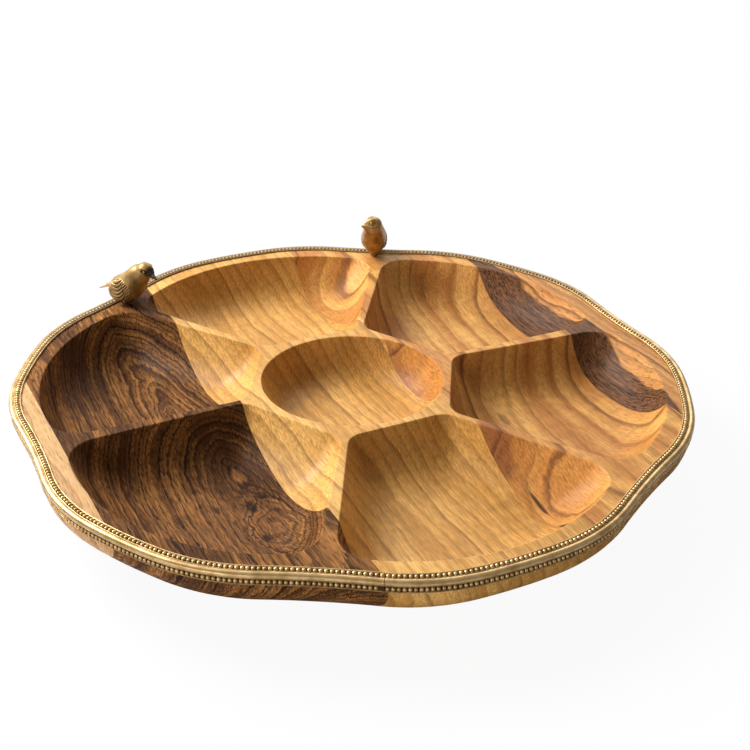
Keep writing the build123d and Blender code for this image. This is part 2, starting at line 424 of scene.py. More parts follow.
@dataclass(frozen=True)
class WoodFinish:
    """Oiled hardwood, cut from one place in one log."""

    name: str
    pale: Colour
    dark: Colour
    line: Colour
    pith_across: float
    pith_height: float
    lean: float = 0.05
    slant: float = 0.0
    taper: float = 0.0
    spacing: float = 7.0
    line_start: float = 0.5
    line_full: float = 0.92
    line_fade: float = 0.93
    line_faintest: float = 0.25
    line_strength: float = 0.5
    band_width: float = 18.0
    band_contrast: float = 2.4
    year_contrast: float = 0.25
    darkness: float = 0.45
    darkness_levels: tuple[float, float] = (0.1, 0.9)
    sway: float = 5.0
    sway_length: float = 80.0
    ripple: float = 1.2
    jag: float = 0.5
    fibre: float = 0.7
    streak: float = 0.8
    vein_width: float = 3.0
    vein_run: float = 40.0
    vein_levels: tuple[float, float] = (0.52, 0.68)
    vein_strength: float = 0.2
    pore_levels: tuple[float, float] = (0.6, 0.7)
    pore_strength: float = 0.35
    mottle: float = 0.4
    shimmer: float = 0.25
    # Painted shade: the heights where the wood starts and stops darkening into a pocket,
    # and how much darker it gets.
    shaded_levels: tuple[float, float] = (36.0, 22.0)
    shading: float = 0.12
    roughness: float = 0.48
    streak_rough: float = 0.2
    line_rough: float = 0.06
    streak_height: float = 0.08
    pore_depth: float = 0.05
    bump: float = 0.4
    sheen: float = 0.2
    knots: Sequence[Knot] = ()
    stains: Sequence[Stain] = ()
    heartwood: Heartwood | None = None
    seed: float = 0.0

    def material(self) -> bpy.types.Material:
        """Builds the wood.

        Returns:
            Its material.
        """
        tree = ShaderTree(bpy.data.materials.new(self.name))
        place = tree.place_mm()
        grain = polar(1.0, GRAIN_BEARING)
        along = tree.dot(place, (grain[0], grain[1], 0.0)) + self.seed
        across = tree.dot(place, (grain[1], -grain[0], 0.0))
        height = tree.dot(place, UP)

        def stretched(
            length: float, width: float, detail: float = 2.0, rough: float = 0.5
        ) -> Signal:
            """Noise drawn out along the grain, about -0.5 to 0.5."""
            spot = tree.joined(along / length, across / width, height / (width * 3.0))
            return tree.grain_noise(spot, detail, rough) - 0.5

        ring = self.rings(tree, place, grain, along, across, height, stretched)
        slow = tree.grain_noise(tree.joined(ring / self.band_width, 0.0, 0.0), 2.0)
        phase = ring / self.spacing + slow * 2.0
        part = phase.fraction()
        whole = phase - part
        one_way = {"noise_dimensions": "1D"}
        year = tree.node("ShaderNodeTexWhiteNoise", one_way, {"W": whole})
        line = part.step(self.line_start, self.line_full) * part.step(1.0, self.line_fade)
        line = line * (self.line_faintest + year * year * (1 - self.line_faintest))
        drift = along / (self.vein_width * self.vein_run)
        vein = tree.grain_noise(tree.joined(ring / self.vein_width, drift, 0.0), 4.0, 0.7)
        vein = vein.step(*self.vein_levels)
        mottle = stretched(*Grain.MOTTLE.value)
        fibre = stretched(*Grain.FIBRE.value)
        streak = stretched(*Grain.STREAK.value)
        pores = (stretched(*Grain.PORE.value) + 0.5).step(*self.pore_levels)
        shimmer = stretched(*Grain.SHIMMER.value)

        bands = (slow - 0.5) * self.band_contrast + mottle * self.mottle * 4
        depth = bands + part * self.year_contrast
        darkness = (depth + self.darkness).step(*self.darkness_levels)
        body = tree.mixed(darkness, self.pale, self.dark)
        if self.heartwood is None:
            veined = vein
            grainy = 1.0
        else:
            reach = across + stretched(*Grain.EDGE.value) * self.heartwood.ragged * 4
            off = along - self.seed - self.heartwood.middle
            reach = reach + off * off / (self.heartwood.bow_radius * 2)
            edge = self.heartwood.edge
            soft = self.heartwood.softness
            inside = reach.step(edge + soft, edge - soft) * self.heartwood.strength
            body = tree.mixed(inside, body, self.heartwood.colour)
            outside = self.heartwood.veins_outside
            veined = vein * (inside * (1 - outside) + outside)
            grainy = inside * self.heartwood.coarser + 1.0
        for stain in self.stains:
            mask = self.stain_mask(tree, place, grain, stain)
            body = tree.mixed(mask, body, stain.colour)
        body = tree.mixed(line * self.line_strength, body, self.line)
        body = tree.mixed(veined * self.vein_strength, body, self.line)
        body = tree.mixed(pores * self.pore_strength, body, self.line)
        tone = 1.0 + (fibre * self.fibre + streak * self.streak) * grainy
        tone = tone + shimmer * self.shimmer
        # Painted shade: the wood turns darker the deeper it lies in a pocket.
        tone = tone * (1.0 - height.step(*self.shaded_levels) * self.shading)
        body = tree.mixed(1.0, body, tree.joined(tone, tone, tone), "MULTIPLY")
        rough = self.roughness + streak * self.streak_rough + line * self.line_rough
        bump = streak * self.streak_height - pores * self.pore_depth
        sockets = {"Base Color": body, "Roughness": rough, "Specular IOR Level": self.sheen}
        return tree.finish(sockets, bump, self.bump)

    def rings(
        self,
        tree: ShaderTree,
        place: Signal,
        grain: np.ndarray,
        along: Signal,
        across: Signal,
        height: Signal,
        stretched: Callable[..., Signal],
    ) -> Signal:
        """How far each spot is from the heart of the tree.

        Args:
            tree: The wood's tree.
            place: The place on the object, in millimetres.
            grain: The direction of the grain in plan.
            along: How far along the grain.
            across: How far across it, in plan.
            height: How high.
            stretched: Noise drawn out along the grain.

        Returns:
            The distance, in millimetres, with the wander of real rings.
        """
        run = along - self.seed
        side = across - self.pith_across - run * self.slant
        rise = height - self.pith_height + self.lean * run
        ring = (side * side + rise * rise).root() + run * self.taper
        ring = ring + stretched(self.sway_length, self.sway_length / 2) * (self.sway * 4)
        ring = ring + stretched(*Grain.RIPPLE.value) * (self.ripple * 2)
        ring = ring + stretched(*Grain.JAG.value) * (self.jag * 2)
        for knot in self.knots:
            away = tree.vector("SUBTRACT", place, (knot.x, knot.y, knot.height))
            lengthwise, upright = knot.squeeze
            away = tree.joined(
                tree.dot(away, (grain[0] * lengthwise, grain[1] * lengthwise, 0.0)),
                tree.dot(away, (grain[1], -grain[0], 0.0)),
                tree.dot(away, (0.0, 0.0, upright)),
            )
            distance = tree.vector("LENGTH", away, output=1)
            curl = tree.grain_noise(tree.scaled(place, 1 / knot.curl_size), 2.0) - 0.5
            ring = ring + distance.step(knot.reach, 0.0) * (knot.push + curl * knot.curl)
        return ring

    def stain_mask(
        self, tree: ShaderTree, place: Signal, grain: np.ndarray, stain: Stain
    ) -> Signal:
        """Where a stain shows.

        Args:
            tree: The wood's tree.
            place: The place on the object, in millimetres.
            grain: The direction of the grain in plan.
            stain: The stain.

        Returns:
            0 to 1.
        """
        away = tree.vector("SUBTRACT", place, (stain.x, stain.y, 0.0))
        spot = tree.joined(
            tree.dot(away, (grain[0] / stain.along, grain[1] / stain.along, 0.0)),
            tree.dot(away, (grain[1] / stain.across, -grain[0] / stain.across, 0.0)),
            0.0,
        )
        edge = tree.grain_noise(tree.scaled(place, 1 / stain.tatter_size), 4.0, 0.6)
        distance = tree.vector("LENGTH", spot, output=1) + (edge - 0.5) * stain.ragged * 4
        return distance.step(*stain.fade) * stain.strength


@dataclass(frozen=True)
class BrassFinish:
    """Brass with brown patina and painted shade in its hollows."""

    name: str
    bright: Colour = shade(200, 168, 118)
    worn: Colour = shade(162, 130, 84)
    patina_and_shade_colour: Colour = shade(70, 50, 28)
    roughness: float = 0.4
    metallic: float = 1.0
    # Painted shade: how much the brass darkens and dulls towards the back, 0 to 1.
    back_shade: float = 0.0
    back_shade_colour: Colour = shade(146, 126, 98)
    back_shade_way: tuple[float, float, float] = (-0.3, 1.0, 0.0)
    back_shade_reach: tuple[float, float] = (30.0, 120.0)
    cloud_size: float = 6.0
    cloud_levels: tuple[float, float] = (0.35, 0.7)
    speck_size: float = 0.7
    speck_share: float = 0.35
    patina_and_shade_levels: tuple[float, float] = (0.25, 0.85)
    patina_and_shade_rough: float = 0.3
    cloud_rough: float = 0.12
    back_shade_rough: float = 0.25
    speck_height: float = 0.05
    bump: float = 0.3

    def material(self) -> bpy.types.Material:
        """Builds the brass.

        Returns:
            Its material.
        """
        tree = ShaderTree(bpy.data.materials.new(self.name))
        place = tree.place_mm()
        cloud = tree.grain_noise(tree.scaled(place, 1 / self.cloud_size), 4.0)
        speck = tree.grain_noise(tree.scaled(place, 1 / self.speck_size), 3.0)
        recess = tree.node(
            "ShaderNodeAttribute", {"attribute_name": "recess"}, output="Fac"
        )
        body = tree.mixed(cloud.step(*self.cloud_levels), self.bright, self.worn)
        # Painted shade: the strip's brass turns darker and duller towards the back.
        old = tree.dot(place, self.back_shade_way).step(*self.back_shade_reach) * self.back_shade
        body = tree.mixed(old, body, self.back_shade_colour)
        # The hollows darken: patina, and painted shade where less light falls in.
        patina_and_shade = recess + (speck - 0.5) * self.speck_share
        patina_and_shade = patina_and_shade.step(*self.patina_and_shade_levels)
        body = tree.mixed(patina_and_shade, body, self.patina_and_shade_colour)
        rough = self.roughness + patina_and_shade * self.patina_and_shade_rough + (cloud - 0.5) * self.cloud_rough
        rough = rough + old * self.back_shade_rough
        bump = (speck - 0.5) * self.speck_height
        sockets = {"Base Color": body, "Roughness": rough, "Metallic": self.metallic}
        return tree.finish(sockets, bump, self.bump)


@dataclass(frozen=True)
class SteelFinish:
    """Plain zinc-plated steel."""

    name: str
    dull: Colour = shade(150, 152, 156)
    bright: Colour = shade(188, 190, 194)
    cloud_size: float = 1.5
    roughness: float = 0.28
    cloud_rough: float = 0.2

    def material(self) -> bpy.types.Material:
        """Builds the steel.

        Returns:
            Its material.
        """
        tree = ShaderTree(bpy.data.materials.new(self.name))
        cloud = tree.grain_noise(tree.scaled(tree.place_mm(), 1 / self.cloud_size), 4.0)
        body = tree.mixed(cloud, self.dull, self.bright)
        rough = self.roughness + cloud * self.cloud_rough
        return tree.finish({"Base Color": body, "Roughness": rough, "Metallic": 1.0})


@dataclass
class MeshDraft:
    """Vertices with their own normals, gathered ring by ring."""

    places: list[tuple[float, float, float]] = field(default_factory=list)
    normals: list[tuple[float, float, float]] = field(default_factory=list)
    faces: list[tuple[int, ...]] = field(default_factory=list)
    flat: list[bool] = field(default_factory=list)

    def ring(self, places: np.ndarray, normals: np.ndarray) -> list[int]:
        """Adds a closed ring of vertices.

        Args:
            places: Their places, one row each, in millimetres.
            normals: Their normals.

        Returns:
            Their numbers.
        """
        first = len(self.places)
        self.places.extend(map(tuple, places))
        self.normals.extend(map(tuple, normals))
        return list(range(first, len(self.places)))

    def bridge(self, low: list[int], high: list[int], flat: bool = False) -> None:
        """Joins two rings of as many vertices with four-sided faces.

        Args:
            low: One ring.
            high: The other.
            flat: Whether the faces keep their own normals.
        """
        for index, corner in enumerate(low):
            after = (index + 1) % len(low)
            self.faces.append((corner, low[after], high[after], high[index]))
            self.flat.append(flat)

    def fan(
        self,
        ring: list[int],
        place: Sequence[float],
        normal: Sequence[float],
        flat: bool = False,
    ) -> None:
        """Closes a ring with triangles round a middle vertex.

        Args:
            ring: The ring, anticlockwise as seen from where the normal points.
            place: The middle vertex.
            normal: Its normal.
            flat: Whether the faces keep their own normals.
        """
        middle = len(self.places)
        self.places.append(tuple(place))
        self.normals.append(tuple(normal))
        for index, corner in enumerate(ring):
            self.faces.append((corner, ring[(index + 1) % len(ring)], middle))
            self.flat.append(flat)


def surface_normals(grid: np.ndarray) -> np.ndarray:
    """Normals of a grid of points, from its own slopes.

    Args:
        grid: Closed rings of points, as ring, point, xyz.

    Returns:
        A unit normal for each point, with the rings anticlockwise and going inward
        or upward to give outward ones.
    """
    around = np.roll(grid, -1, axis=1) - np.roll(grid, 1, axis=1)
    through = np.gradient(grid, axis=0)
    normals = np.cross(around, through)
    return normals / np.linalg.norm(normals, axis=2, keepdims=True)


@dataclass(frozen=True)
class RimOutline:
    """The lobed outline under the strip's inner edge, as arcs that touch."""

    lobes: int = PETALS
    lobe_radius: float = 168.8
    notch_radius: float = 162.4
    crown_arc: float = 250.0
    shoulder_arc: float = 87.0
    notch_arc: float = 417.0

    def arcs(self) -> list[tuple[np.ndarray, float, float, float, float]]:
        """Lists the arcs once round.

        Returns:
            Centre, radius, sign (-1 for a hollow), first angle and sweep of each, with
            the angles in degrees from the centre and going round with the outline.
        """
        pitch = 360 / self.lobes
        crown = np.array([self.lobe_radius - self.crown_arc, 0.0])
        notch = polar(self.notch_radius + self.notch_arc, pitch / 2)
        span = notch - crown
        length = float(np.hypot(*span))
        near = self.crown_arc - self.shoulder_arc
        far = self.shoulder_arc + self.notch_arc
        along = (near**2 - far**2 + length**2) / (2 * length)
        aside = math.sqrt(near**2 - along**2)
        shoulder = crown + (span * along + np.array([span[1], -span[0]]) * aside) / length
        first = math.degrees(math.atan2(shoulder[1], shoulder[0] - crown[0]))
        last = math.degrees(
            math.atan2(notch[1] - shoulder[1], notch[0] - shoulder[0])
        )
        mirrored = np.array([shoulder[0], -shoulder[1]])
        listed = []
        for lobe in range(self.lobes):
            turn = lobe * pitch
            listed += [
                (self.turned(mirrored, turn), self.shoulder_arc, 1, turn - last,
                 last - first),
                (self.turned(crown, turn), self.crown_arc, 1, turn - first, 2 * first),
                (self.turned(shoulder, turn), self.shoulder_arc, 1, turn + first,
                 last - first),
                (self.turned(notch, turn), self.notch_arc, -1, turn + last + 180,
                 pitch - 2 * last),
            ]
        return listed

    @staticmethod
    def turned(point: np.ndarray, degrees: float) -> np.ndarray:
        """A point turned about the middle.

        Args:
            point: The point.
            degrees: How far it turns.

        Returns:
            Where it goes.
        """
        angle = math.radians(degrees)
        cosine, sine = math.cos(angle), math.sin(angle)
        return np.array(
            [point[0] * cosine - point[1] * sine, point[0] * sine + point[1] * cosine]
        )

    def stations(self, spacing: float) -> tuple[np.ndarray, np.ndarray]:
        """Steps once round the outline.

        Args:
            spacing: About how far apart the stations are.

        Returns:
            The points and the directions straight out.
        """
        points, outs = [], []
        for centre, radius, sign, start, sweep in self.arcs():
            steps = max(1, round(radius * math.radians(abs(sweep)) / spacing))
            for step in range(steps):
                spoke = polar(1.0, start + sweep * step / steps)
                points.append(centre + spoke * radius)
                outs.append(spoke * sign)
        return np.array(points), np.array(outs)


@dataclass(frozen=True)
class PetalPocket:
    """One petal pocket: its outline lies between two ridges of its own."""

    number: int
    right_ridge: tuple[float, float]
    left_ridge: tuple[float, float]
    depth: float = 23.0
    roundness: float = 4.6
    inner: float = 51.6
    outer: float = 161.8
    outer_arc: float = 106.0
    middle: float = 113.0
    inner_corner: float = 11.0
    outer_corner: float = 17.0
    ridge_reach: tuple[float, float] = (61.0, 136.0)
    ridge_width: tuple[float, float] = (3.0, 7.0)

    def side(self, ridge: tuple[float, float], sign: int) -> tuple[np.ndarray, ...]:
        """One straight side, in the pocket's own frame with +X along its lobe.

        Args:
            ridge: Bearings of the ridge's two ends from the pocket's axis.
            sign: 1 for the right side, -1 for the left.

        Returns:
            A point, the direction outward along the ridge, and the one into the pocket.
        """
        near = polar(self.ridge_reach[0], ridge[0])
        near = near + polar(self.ridge_width[0] / 2, ridge[0] + sign * 90)
        far = polar(self.ridge_reach[1], ridge[1])
        far = far + polar(self.ridge_width[1] / 2, ridge[1] + sign * 90)
        run = (far - near) / np.hypot(*(far - near))
        return near, run, sign * np.array([-run[1], run[0]])

    def outline(self, spacing: float) -> tuple[np.ndarray, np.ndarray]:
        """Steps anticlockwise round the top of the wall.

        Args:
            spacing: About how far apart the points are.

        Returns:
            The points and the directions out of the pocket, in plan.
        """
        centre = np.array([self.outer - self.outer_arc, 0.0])
        inner_corners, outer_corners = [], []
        for ridge, sign in ((self.right_ridge, 1), (self.left_ridge, -1)):
            near, run, inward = self.side(ridge, sign)
            start = near + inward * self.inner_corner
            reach = (self.inner + self.inner_corner - start[0]) / run[0]
            inner_corners.append((start + run * reach, -inward))
            start = near + inward * self.outer_corner - centre
            lead = float(start @ run)
            rest = float(start @ start) - (self.outer_arc - self.outer_corner) ** 2
            reach = -lead + math.sqrt(lead**2 - rest)
            outer_corners.append((centre + start + run * reach, -inward))
        spokes = [outer_corners[0][0] - centre, outer_corners[1][0] - centre]
        angles = [math.degrees(math.atan2(spoke[1], spoke[0])) for spoke in spokes]
        sides = [math.degrees(math.atan2(n[1], n[0])) for _, n in outer_corners]
        arcs = (
            (outer_corners[0][0], self.outer_corner, sides[0], angles[0]),
            (centre, self.outer_arc, angles[0], angles[1]),
            (outer_corners[1][0], self.outer_corner, angles[1], sides[1]),
            (inner_corners[1][0], self.inner_corner, sides[1], 180.0),
            (inner_corners[0][0], self.inner_corner, 180.0, sides[0] + 360.0),
        )
        points, outs = [], []
        for middle, radius, start, stop in arcs:
            sweep = stop - start
            steps = max(2, round(radius * math.radians(sweep) / spacing))
            fresh = [polar(1.0, start + sweep * i / steps) for i in range(steps + 1)]
            fresh_points = [middle + spoke * radius for spoke in fresh]
            self.straight(points, outs, fresh_points[0], fresh[0], spacing)
            joins = bool(points) and np.hypot(*(points[-1] - fresh_points[0])) < 1e-6
            points += fresh_points[1:] if joins else fresh_points
            outs += fresh[1:] if joins else fresh
        self.straight(points, outs, points[0], outs[0], spacing)
        turn = self.number * PETAL_PITCH
        return (
            np.array([RimOutline.turned(point, turn) for point in points]),
            np.array([RimOutline.turned(out, turn) for out in outs]),
        )

    @staticmethod
    def straight(
        points: list, outs: list, end: np.ndarray, out: np.ndarray, spacing: float
    ) -> None:
        """Adds the points between the last one and the end of a straight run.

        Args:
            points: The points so far, added to.
            outs: Their directions, added to.
            end: Where the run ends.
            out: The direction out of the pocket along it.
            spacing: About how far apart the points are.
        """
        if not points:
            return
        start = points[-1]
        steps = round(float(np.hypot(*(end - start))) / spacing)
        for step in range(1, steps):
            points.append(start + (end - start) * step / steps)
            outs.append(out)

    def middle_point(self) -> np.ndarray:
        """Where the pocket is deepest, in plan."""
        return polar(self.middle, self.number * PETAL_PITCH)


@dataclass(frozen=True)
class MiddlePocket:
    """The round pocket in the middle."""

    radius: float = 47.5
    depth: float = 20.0
    roundness: float = 6.5

    def outline(self, spacing: float) -> tuple[np.ndarray, np.ndarray]:
        """Steps anticlockwise round the top of the wall.

        Args:
            spacing: About how far apart the points are.

        Returns:
            The points and the directions out of the pocket, in plan.
        """
        steps = round(math.tau * self.radius / spacing)
        outs = np.array([polar(1.0, 360.0 * step / steps) for step in range(steps)])
        return outs * self.radius, outs

    def middle_point(self) -> np.ndarray:
        """Where the pocket is deepest, in plan."""
        return np.zeros(2)


Pocket = Union[PetalPocket, MiddlePocket]


class BoardLetter(Enum):
    """The five boards, from left to right."""

    A = "board_a"
    B = "board_b"
    C = "board_c"
    D = "board_d"
    E = "board_e"


@dataclass
class WoodenDish:
    """The carved wood, modelled whole and then parted along its glue lines."""

    outline: RimOutline = field(default_factory=RimOutline)
    spacing: float = 2.0
    wall_foot: float = 30.0
    underside_inset: float = 38.0
    underside_curve: float = 1.5
    chamfer: float = CHAMFER
    crest_roll: float = 1.0
    crest_slope: float = 62.0
    roll_steps: int = 6
    wall_steps: int = 30
    wall_end: float = 0.4
    wall_top: float = 0.994
    wall_crowding: float = 1.35
    tool_mark: float = 0.10
    tool_mark_start: float = 4.0
    slow_mark: float = 19.0
    quick_mark: float = 8.0
    quick_share: float = 0.3
    foot_steps: int = 18
    foot_crowding: float = 1.3
    side_levels: tuple[float, ...] = (32.0, 34.0)
    ridge_inner: tuple[float, ...] = (30.7, 90.7, 149.6, 208.8, 271.8, 329.4)
    ridge_outer: tuple[float, ...] = (28.9, 89.2, 151.6, 209.4, 270.9, 331.0)
    glue_lines: tuple[float, ...] = (-153.7, -61.6, 35.6, 132.0)
    stud_bearings: tuple[float, ...] = (BACK_BEARING, LEFT_BEARING)
    stud_distance: float = BIRD_DISTANCE
    stud_hole_radius: float = HOLE_RADIUS
    stud_hole_depth: float = 10.5

    def pockets(self) -> list[Pocket]:
        """Lists the seven pockets.

        Returns:
            Six petals and the middle one.
        """
        petals: list[Pocket] = []
        for number in range(PETALS):
            before, after = (number - 1) % PETALS, number
            turn = 360.0 if number == 0 else 0.0
            axis = number * PETAL_PITCH
            petals.append(
                PetalPocket(
                    number,
                    (
                        self.ridge_inner[before] - turn - axis,
                        self.ridge_outer[before] - turn - axis,
                    ),
                    (self.ridge_inner[after] - axis, self.ridge_outer[after] - axis),
                )
            )
        return petals + [MiddlePocket()]

    def carve(self, draft: MeshDraft, pocket: Pocket) -> list[int]:
        """Adds one pocket's wall and floor.

        Args:
            draft: The mesh.
            pocket: The pocket.

        Returns:
            The ring of vertices round its lip.
        """
        points, outs = pocket.outline(self.spacing)
        middle = pocket.middle_point()
        rings = []
        shift = self.crest_roll * math.tan(math.radians(self.crest_slope / 2))
        for step in range(self.roll_steps):
            angle = math.radians(self.crest_slope * step / self.roll_steps)
            aside = shift - self.crest_roll * math.sin(angle)
            fall = self.crest_roll * (1 - math.cos(angle))
            rings.append(lifted(points + outs * aside, WOOD_HEIGHT - fall))
        for step in range(self.wall_steps):
            reach = step / (self.wall_steps - self.wall_end)
            share = self.wall_top * (1 - reach**self.wall_crowding)
            fall = pocket.depth * (1 - share**pocket.roundness)
            ring = middle + (points - middle) * share
            marked = min(1.0, fall / self.tool_mark_start)
            heights = [WOOD_HEIGHT - fall + self.mark(x, y) * marked for x, y in ring]
            rings.append(np.column_stack([ring, heights]))
        grid = np.array(rings)
        normals = surface_normals(grid)
        normals[0] = UP
        numbers = [draft.ring(ring, lean) for ring, lean in zip(grid, normals)]
        for outer, inner in zip(numbers, numbers[1:]):
            draft.bridge(outer, inner)
        floor = float(np.mean(grid[-1, :, 2]))
        draft.fan(numbers[-1], (middle[0], middle[1], floor), UP)
        return numbers[0]

    def mark(self, x: float, y: float) -> float:
        """How far the carver's hand left the surface from true.

        Args:
            x: Place.
            y: Place.

        Returns:
            Millimetres up or down.
        """
        slow = noise.noise((x / self.slow_mark, y / self.slow_mark, 3.0))
        quick = noise.noise((x / self.quick_mark, y / self.quick_mark, 9.0))
        return self.tool_mark * (slow + quick * self.quick_share)

    def shell(self, draft: MeshDraft) -> list[int]:
        """Adds the underside, the side wall and the chamfer.

        Args:
            draft: The mesh.

        Returns:
            The ring of vertices round the top.
        """
        points, outs = self.outline.stations(self.spacing)
        levels = [
            self.wall_foot * (step / self.foot_steps) ** self.foot_crowding
            for step in range(self.foot_steps + 1)
        ]
        levels += [*self.side_levels, WOOD_HEIGHT - self.chamfer]
        rings = []
        for level in levels:
            climb = max(0.0, 1 - level / self.wall_foot)
            aside = EDGE_PROJECTION - self.underside_inset * climb**self.underside_curve
            rings.append(lifted(points + outs * aside, level))
        grid = np.array(rings)
        normals = surface_normals(grid)
        numbers = [draft.ring(ring, lean) for ring, lean in zip(grid, normals)]
        for low, high in zip(numbers, numbers[1:]):
            draft.bridge(low, high)
        top = lifted(points + outs * (EDGE_PROJECTION - self.chamfer), WOOD_HEIGHT)
        upright = np.tile(UP, (len(top), 1))
        top_ring = draft.ring(top, upright)
        draft.bridge(numbers[-1], top_ring, flat=True)
        draft.fan(numbers[0][::-1], (0.0, 0.0, 0.0), (0.0, 0.0, -1.0), flat=True)
        return top_ring

    def stud_hole(self, draft: MeshDraft, bearing: float) -> list[int]:
        """Adds the hole that a bird's stud goes into.

        Args:
            draft: The mesh.
            bearing: The bird's bearing.

        Returns:
            The ring of vertices round its mouth.
        """
        middle = polar(self.stud_distance, bearing)
        spokes = circle(1.0, HOLE_SIDES)
        ring = middle + spokes * self.stud_hole_radius
        inward = lifted(-spokes, 0.0)
        floor = WOOD_HEIGHT - self.stud_hole_depth
        mouth = draft.ring(lifted(ring, WOOD_HEIGHT), inward)
        end = draft.ring(lifted(ring, floor), inward)
        draft.bridge(mouth, end, flat=True)
        draft.fan(end, (middle[0], middle[1], floor), UP, flat=True)
        return mouth

    def whole(self) -> bmesh.types.BMesh:
        """Models the dish in one piece.

        Returns:
            A closed mesh, in metres, with a normal kept on each vertex.
        """
        draft = MeshDraft()
        top = self.shell(draft)
        lips = [self.carve(draft, pocket) for pocket in self.pockets()]
        lips += [self.stud_hole(draft, bearing) for bearing in self.stud_bearings]
        mesh = bmesh.new()
        lean = mesh.verts.layers.float_vector.new("lean")
        flat = mesh.faces.layers.int.new("flat")
        verts = []
        for place, normal in zip(draft.places, draft.normals):
            vert = mesh.verts.new(Vector(place) * MM)
            vert[lean] = Vector(normal)
            verts.append(vert)
        for corners, is_flat in zip(draft.faces, draft.flat):
            face = mesh.faces.new([verts[corner] for corner in corners])
            face[flat] = int(is_flat)
        edges = []
        for ring in [top] + lips:
            for index, corner in enumerate(ring):
                pair = (verts[corner], verts[ring[(index + 1) % len(ring)]])
                edges.append(mesh.edges.get(pair))
        self.fill(mesh, edges, Vector(UP))
        return mesh

    @staticmethod
    def fill(
        mesh: bmesh.types.BMesh, edges: Sequence[bmesh.types.BMEdge], normal: Vector
    ) -> None:
        """Fills closed edges with flat faces, and leaves what they enclose open.

        Args:
            mesh: The mesh.
            edges: The edges.
            normal: The direction that the faces look in.
        """
        flat = mesh.faces.layers.int["flat"]
        filled = bmesh.ops.triangle_fill(
            mesh, use_beauty=True, use_dissolve=False, edges=edges, normal=normal
        )
        for made in filled["geom"]:
            if isinstance(made, bmesh.types.BMFace):
                made[flat] = 1
                if made.normal.dot(normal) < 0:
                    made.normal_flip()

    def board(
        self, whole: bmesh.types.BMesh, letter: BoardLetter, finish: WoodFinish
    ) -> bpy.types.Object:
        """Parts one board from the whole dish.

        Args:
            whole: The whole dish.
            letter: Which board.
            finish: Its wood.

        Returns:
            The board, in place of its CAD node.
        """
        mesh = whole.copy()
        across = polar(1.0, GRAIN_BEARING - 90)
        number = list(BoardLetter).index(letter)
        lines = (None, *self.glue_lines, None)
        for line, sign in ((lines[number], -1), (lines[number + 1], 1)):
            if line is None:
                continue
            normal = Vector((across[0] * sign, across[1] * sign, 0.0))
            spot = Vector((across[0] * line * MM, across[1] * line * MM, 0.0))
            cut = bmesh.ops.bisect_plane(
                mesh,
                geom=[*mesh.verts, *mesh.edges, *mesh.faces],
                dist=1e-7,
                plane_co=spot,
                plane_no=normal,
                clear_outer=True,
            )
            edges = [
                made for made in cut["geom_cut"] if isinstance(made, bmesh.types.BMEdge)
            ]
            self.fill(mesh, edges, normal)
        data = mesh_data(f"{letter.value}_carved", mesh)
        self.keep_normals(data)
        board = in_scene(f"{letter.value}_carved", data)
        data.materials.append(finish.material())
        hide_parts(letter.value)
        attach(board, "root")
        return board

    @staticmethod
    def keep_normals(data: bpy.types.Mesh) -> None:
        """Shades the curved faces with the normals worked out for the whole dish.

        Args:
            data: A board's mesh.
        """
        leans = values_of(data.attributes["lean"].data, "vector", 3)
        leans /= np.maximum(np.linalg.norm(leans, axis=1, keepdims=True), 1e-9)
        flats = values_of(data.attributes["flat"].data, "value", 1, np.int32)
        corners = values_of(data.loops, "vertex_index", 1, np.int32)
        normals = leans[corners[:, 0]]
        for polygon in data.polygons:
            if flats[polygon.index, 0]:
                normals[polygon.loop_start : polygon.loop_start + polygon.loop_total] = (
                    polygon.normal
                )
        smooth(data)
        data.normals_split_custom_set(normals.tolist())
        for name in ("lean", "flat"):
            data.attributes.remove(data.attributes[name])


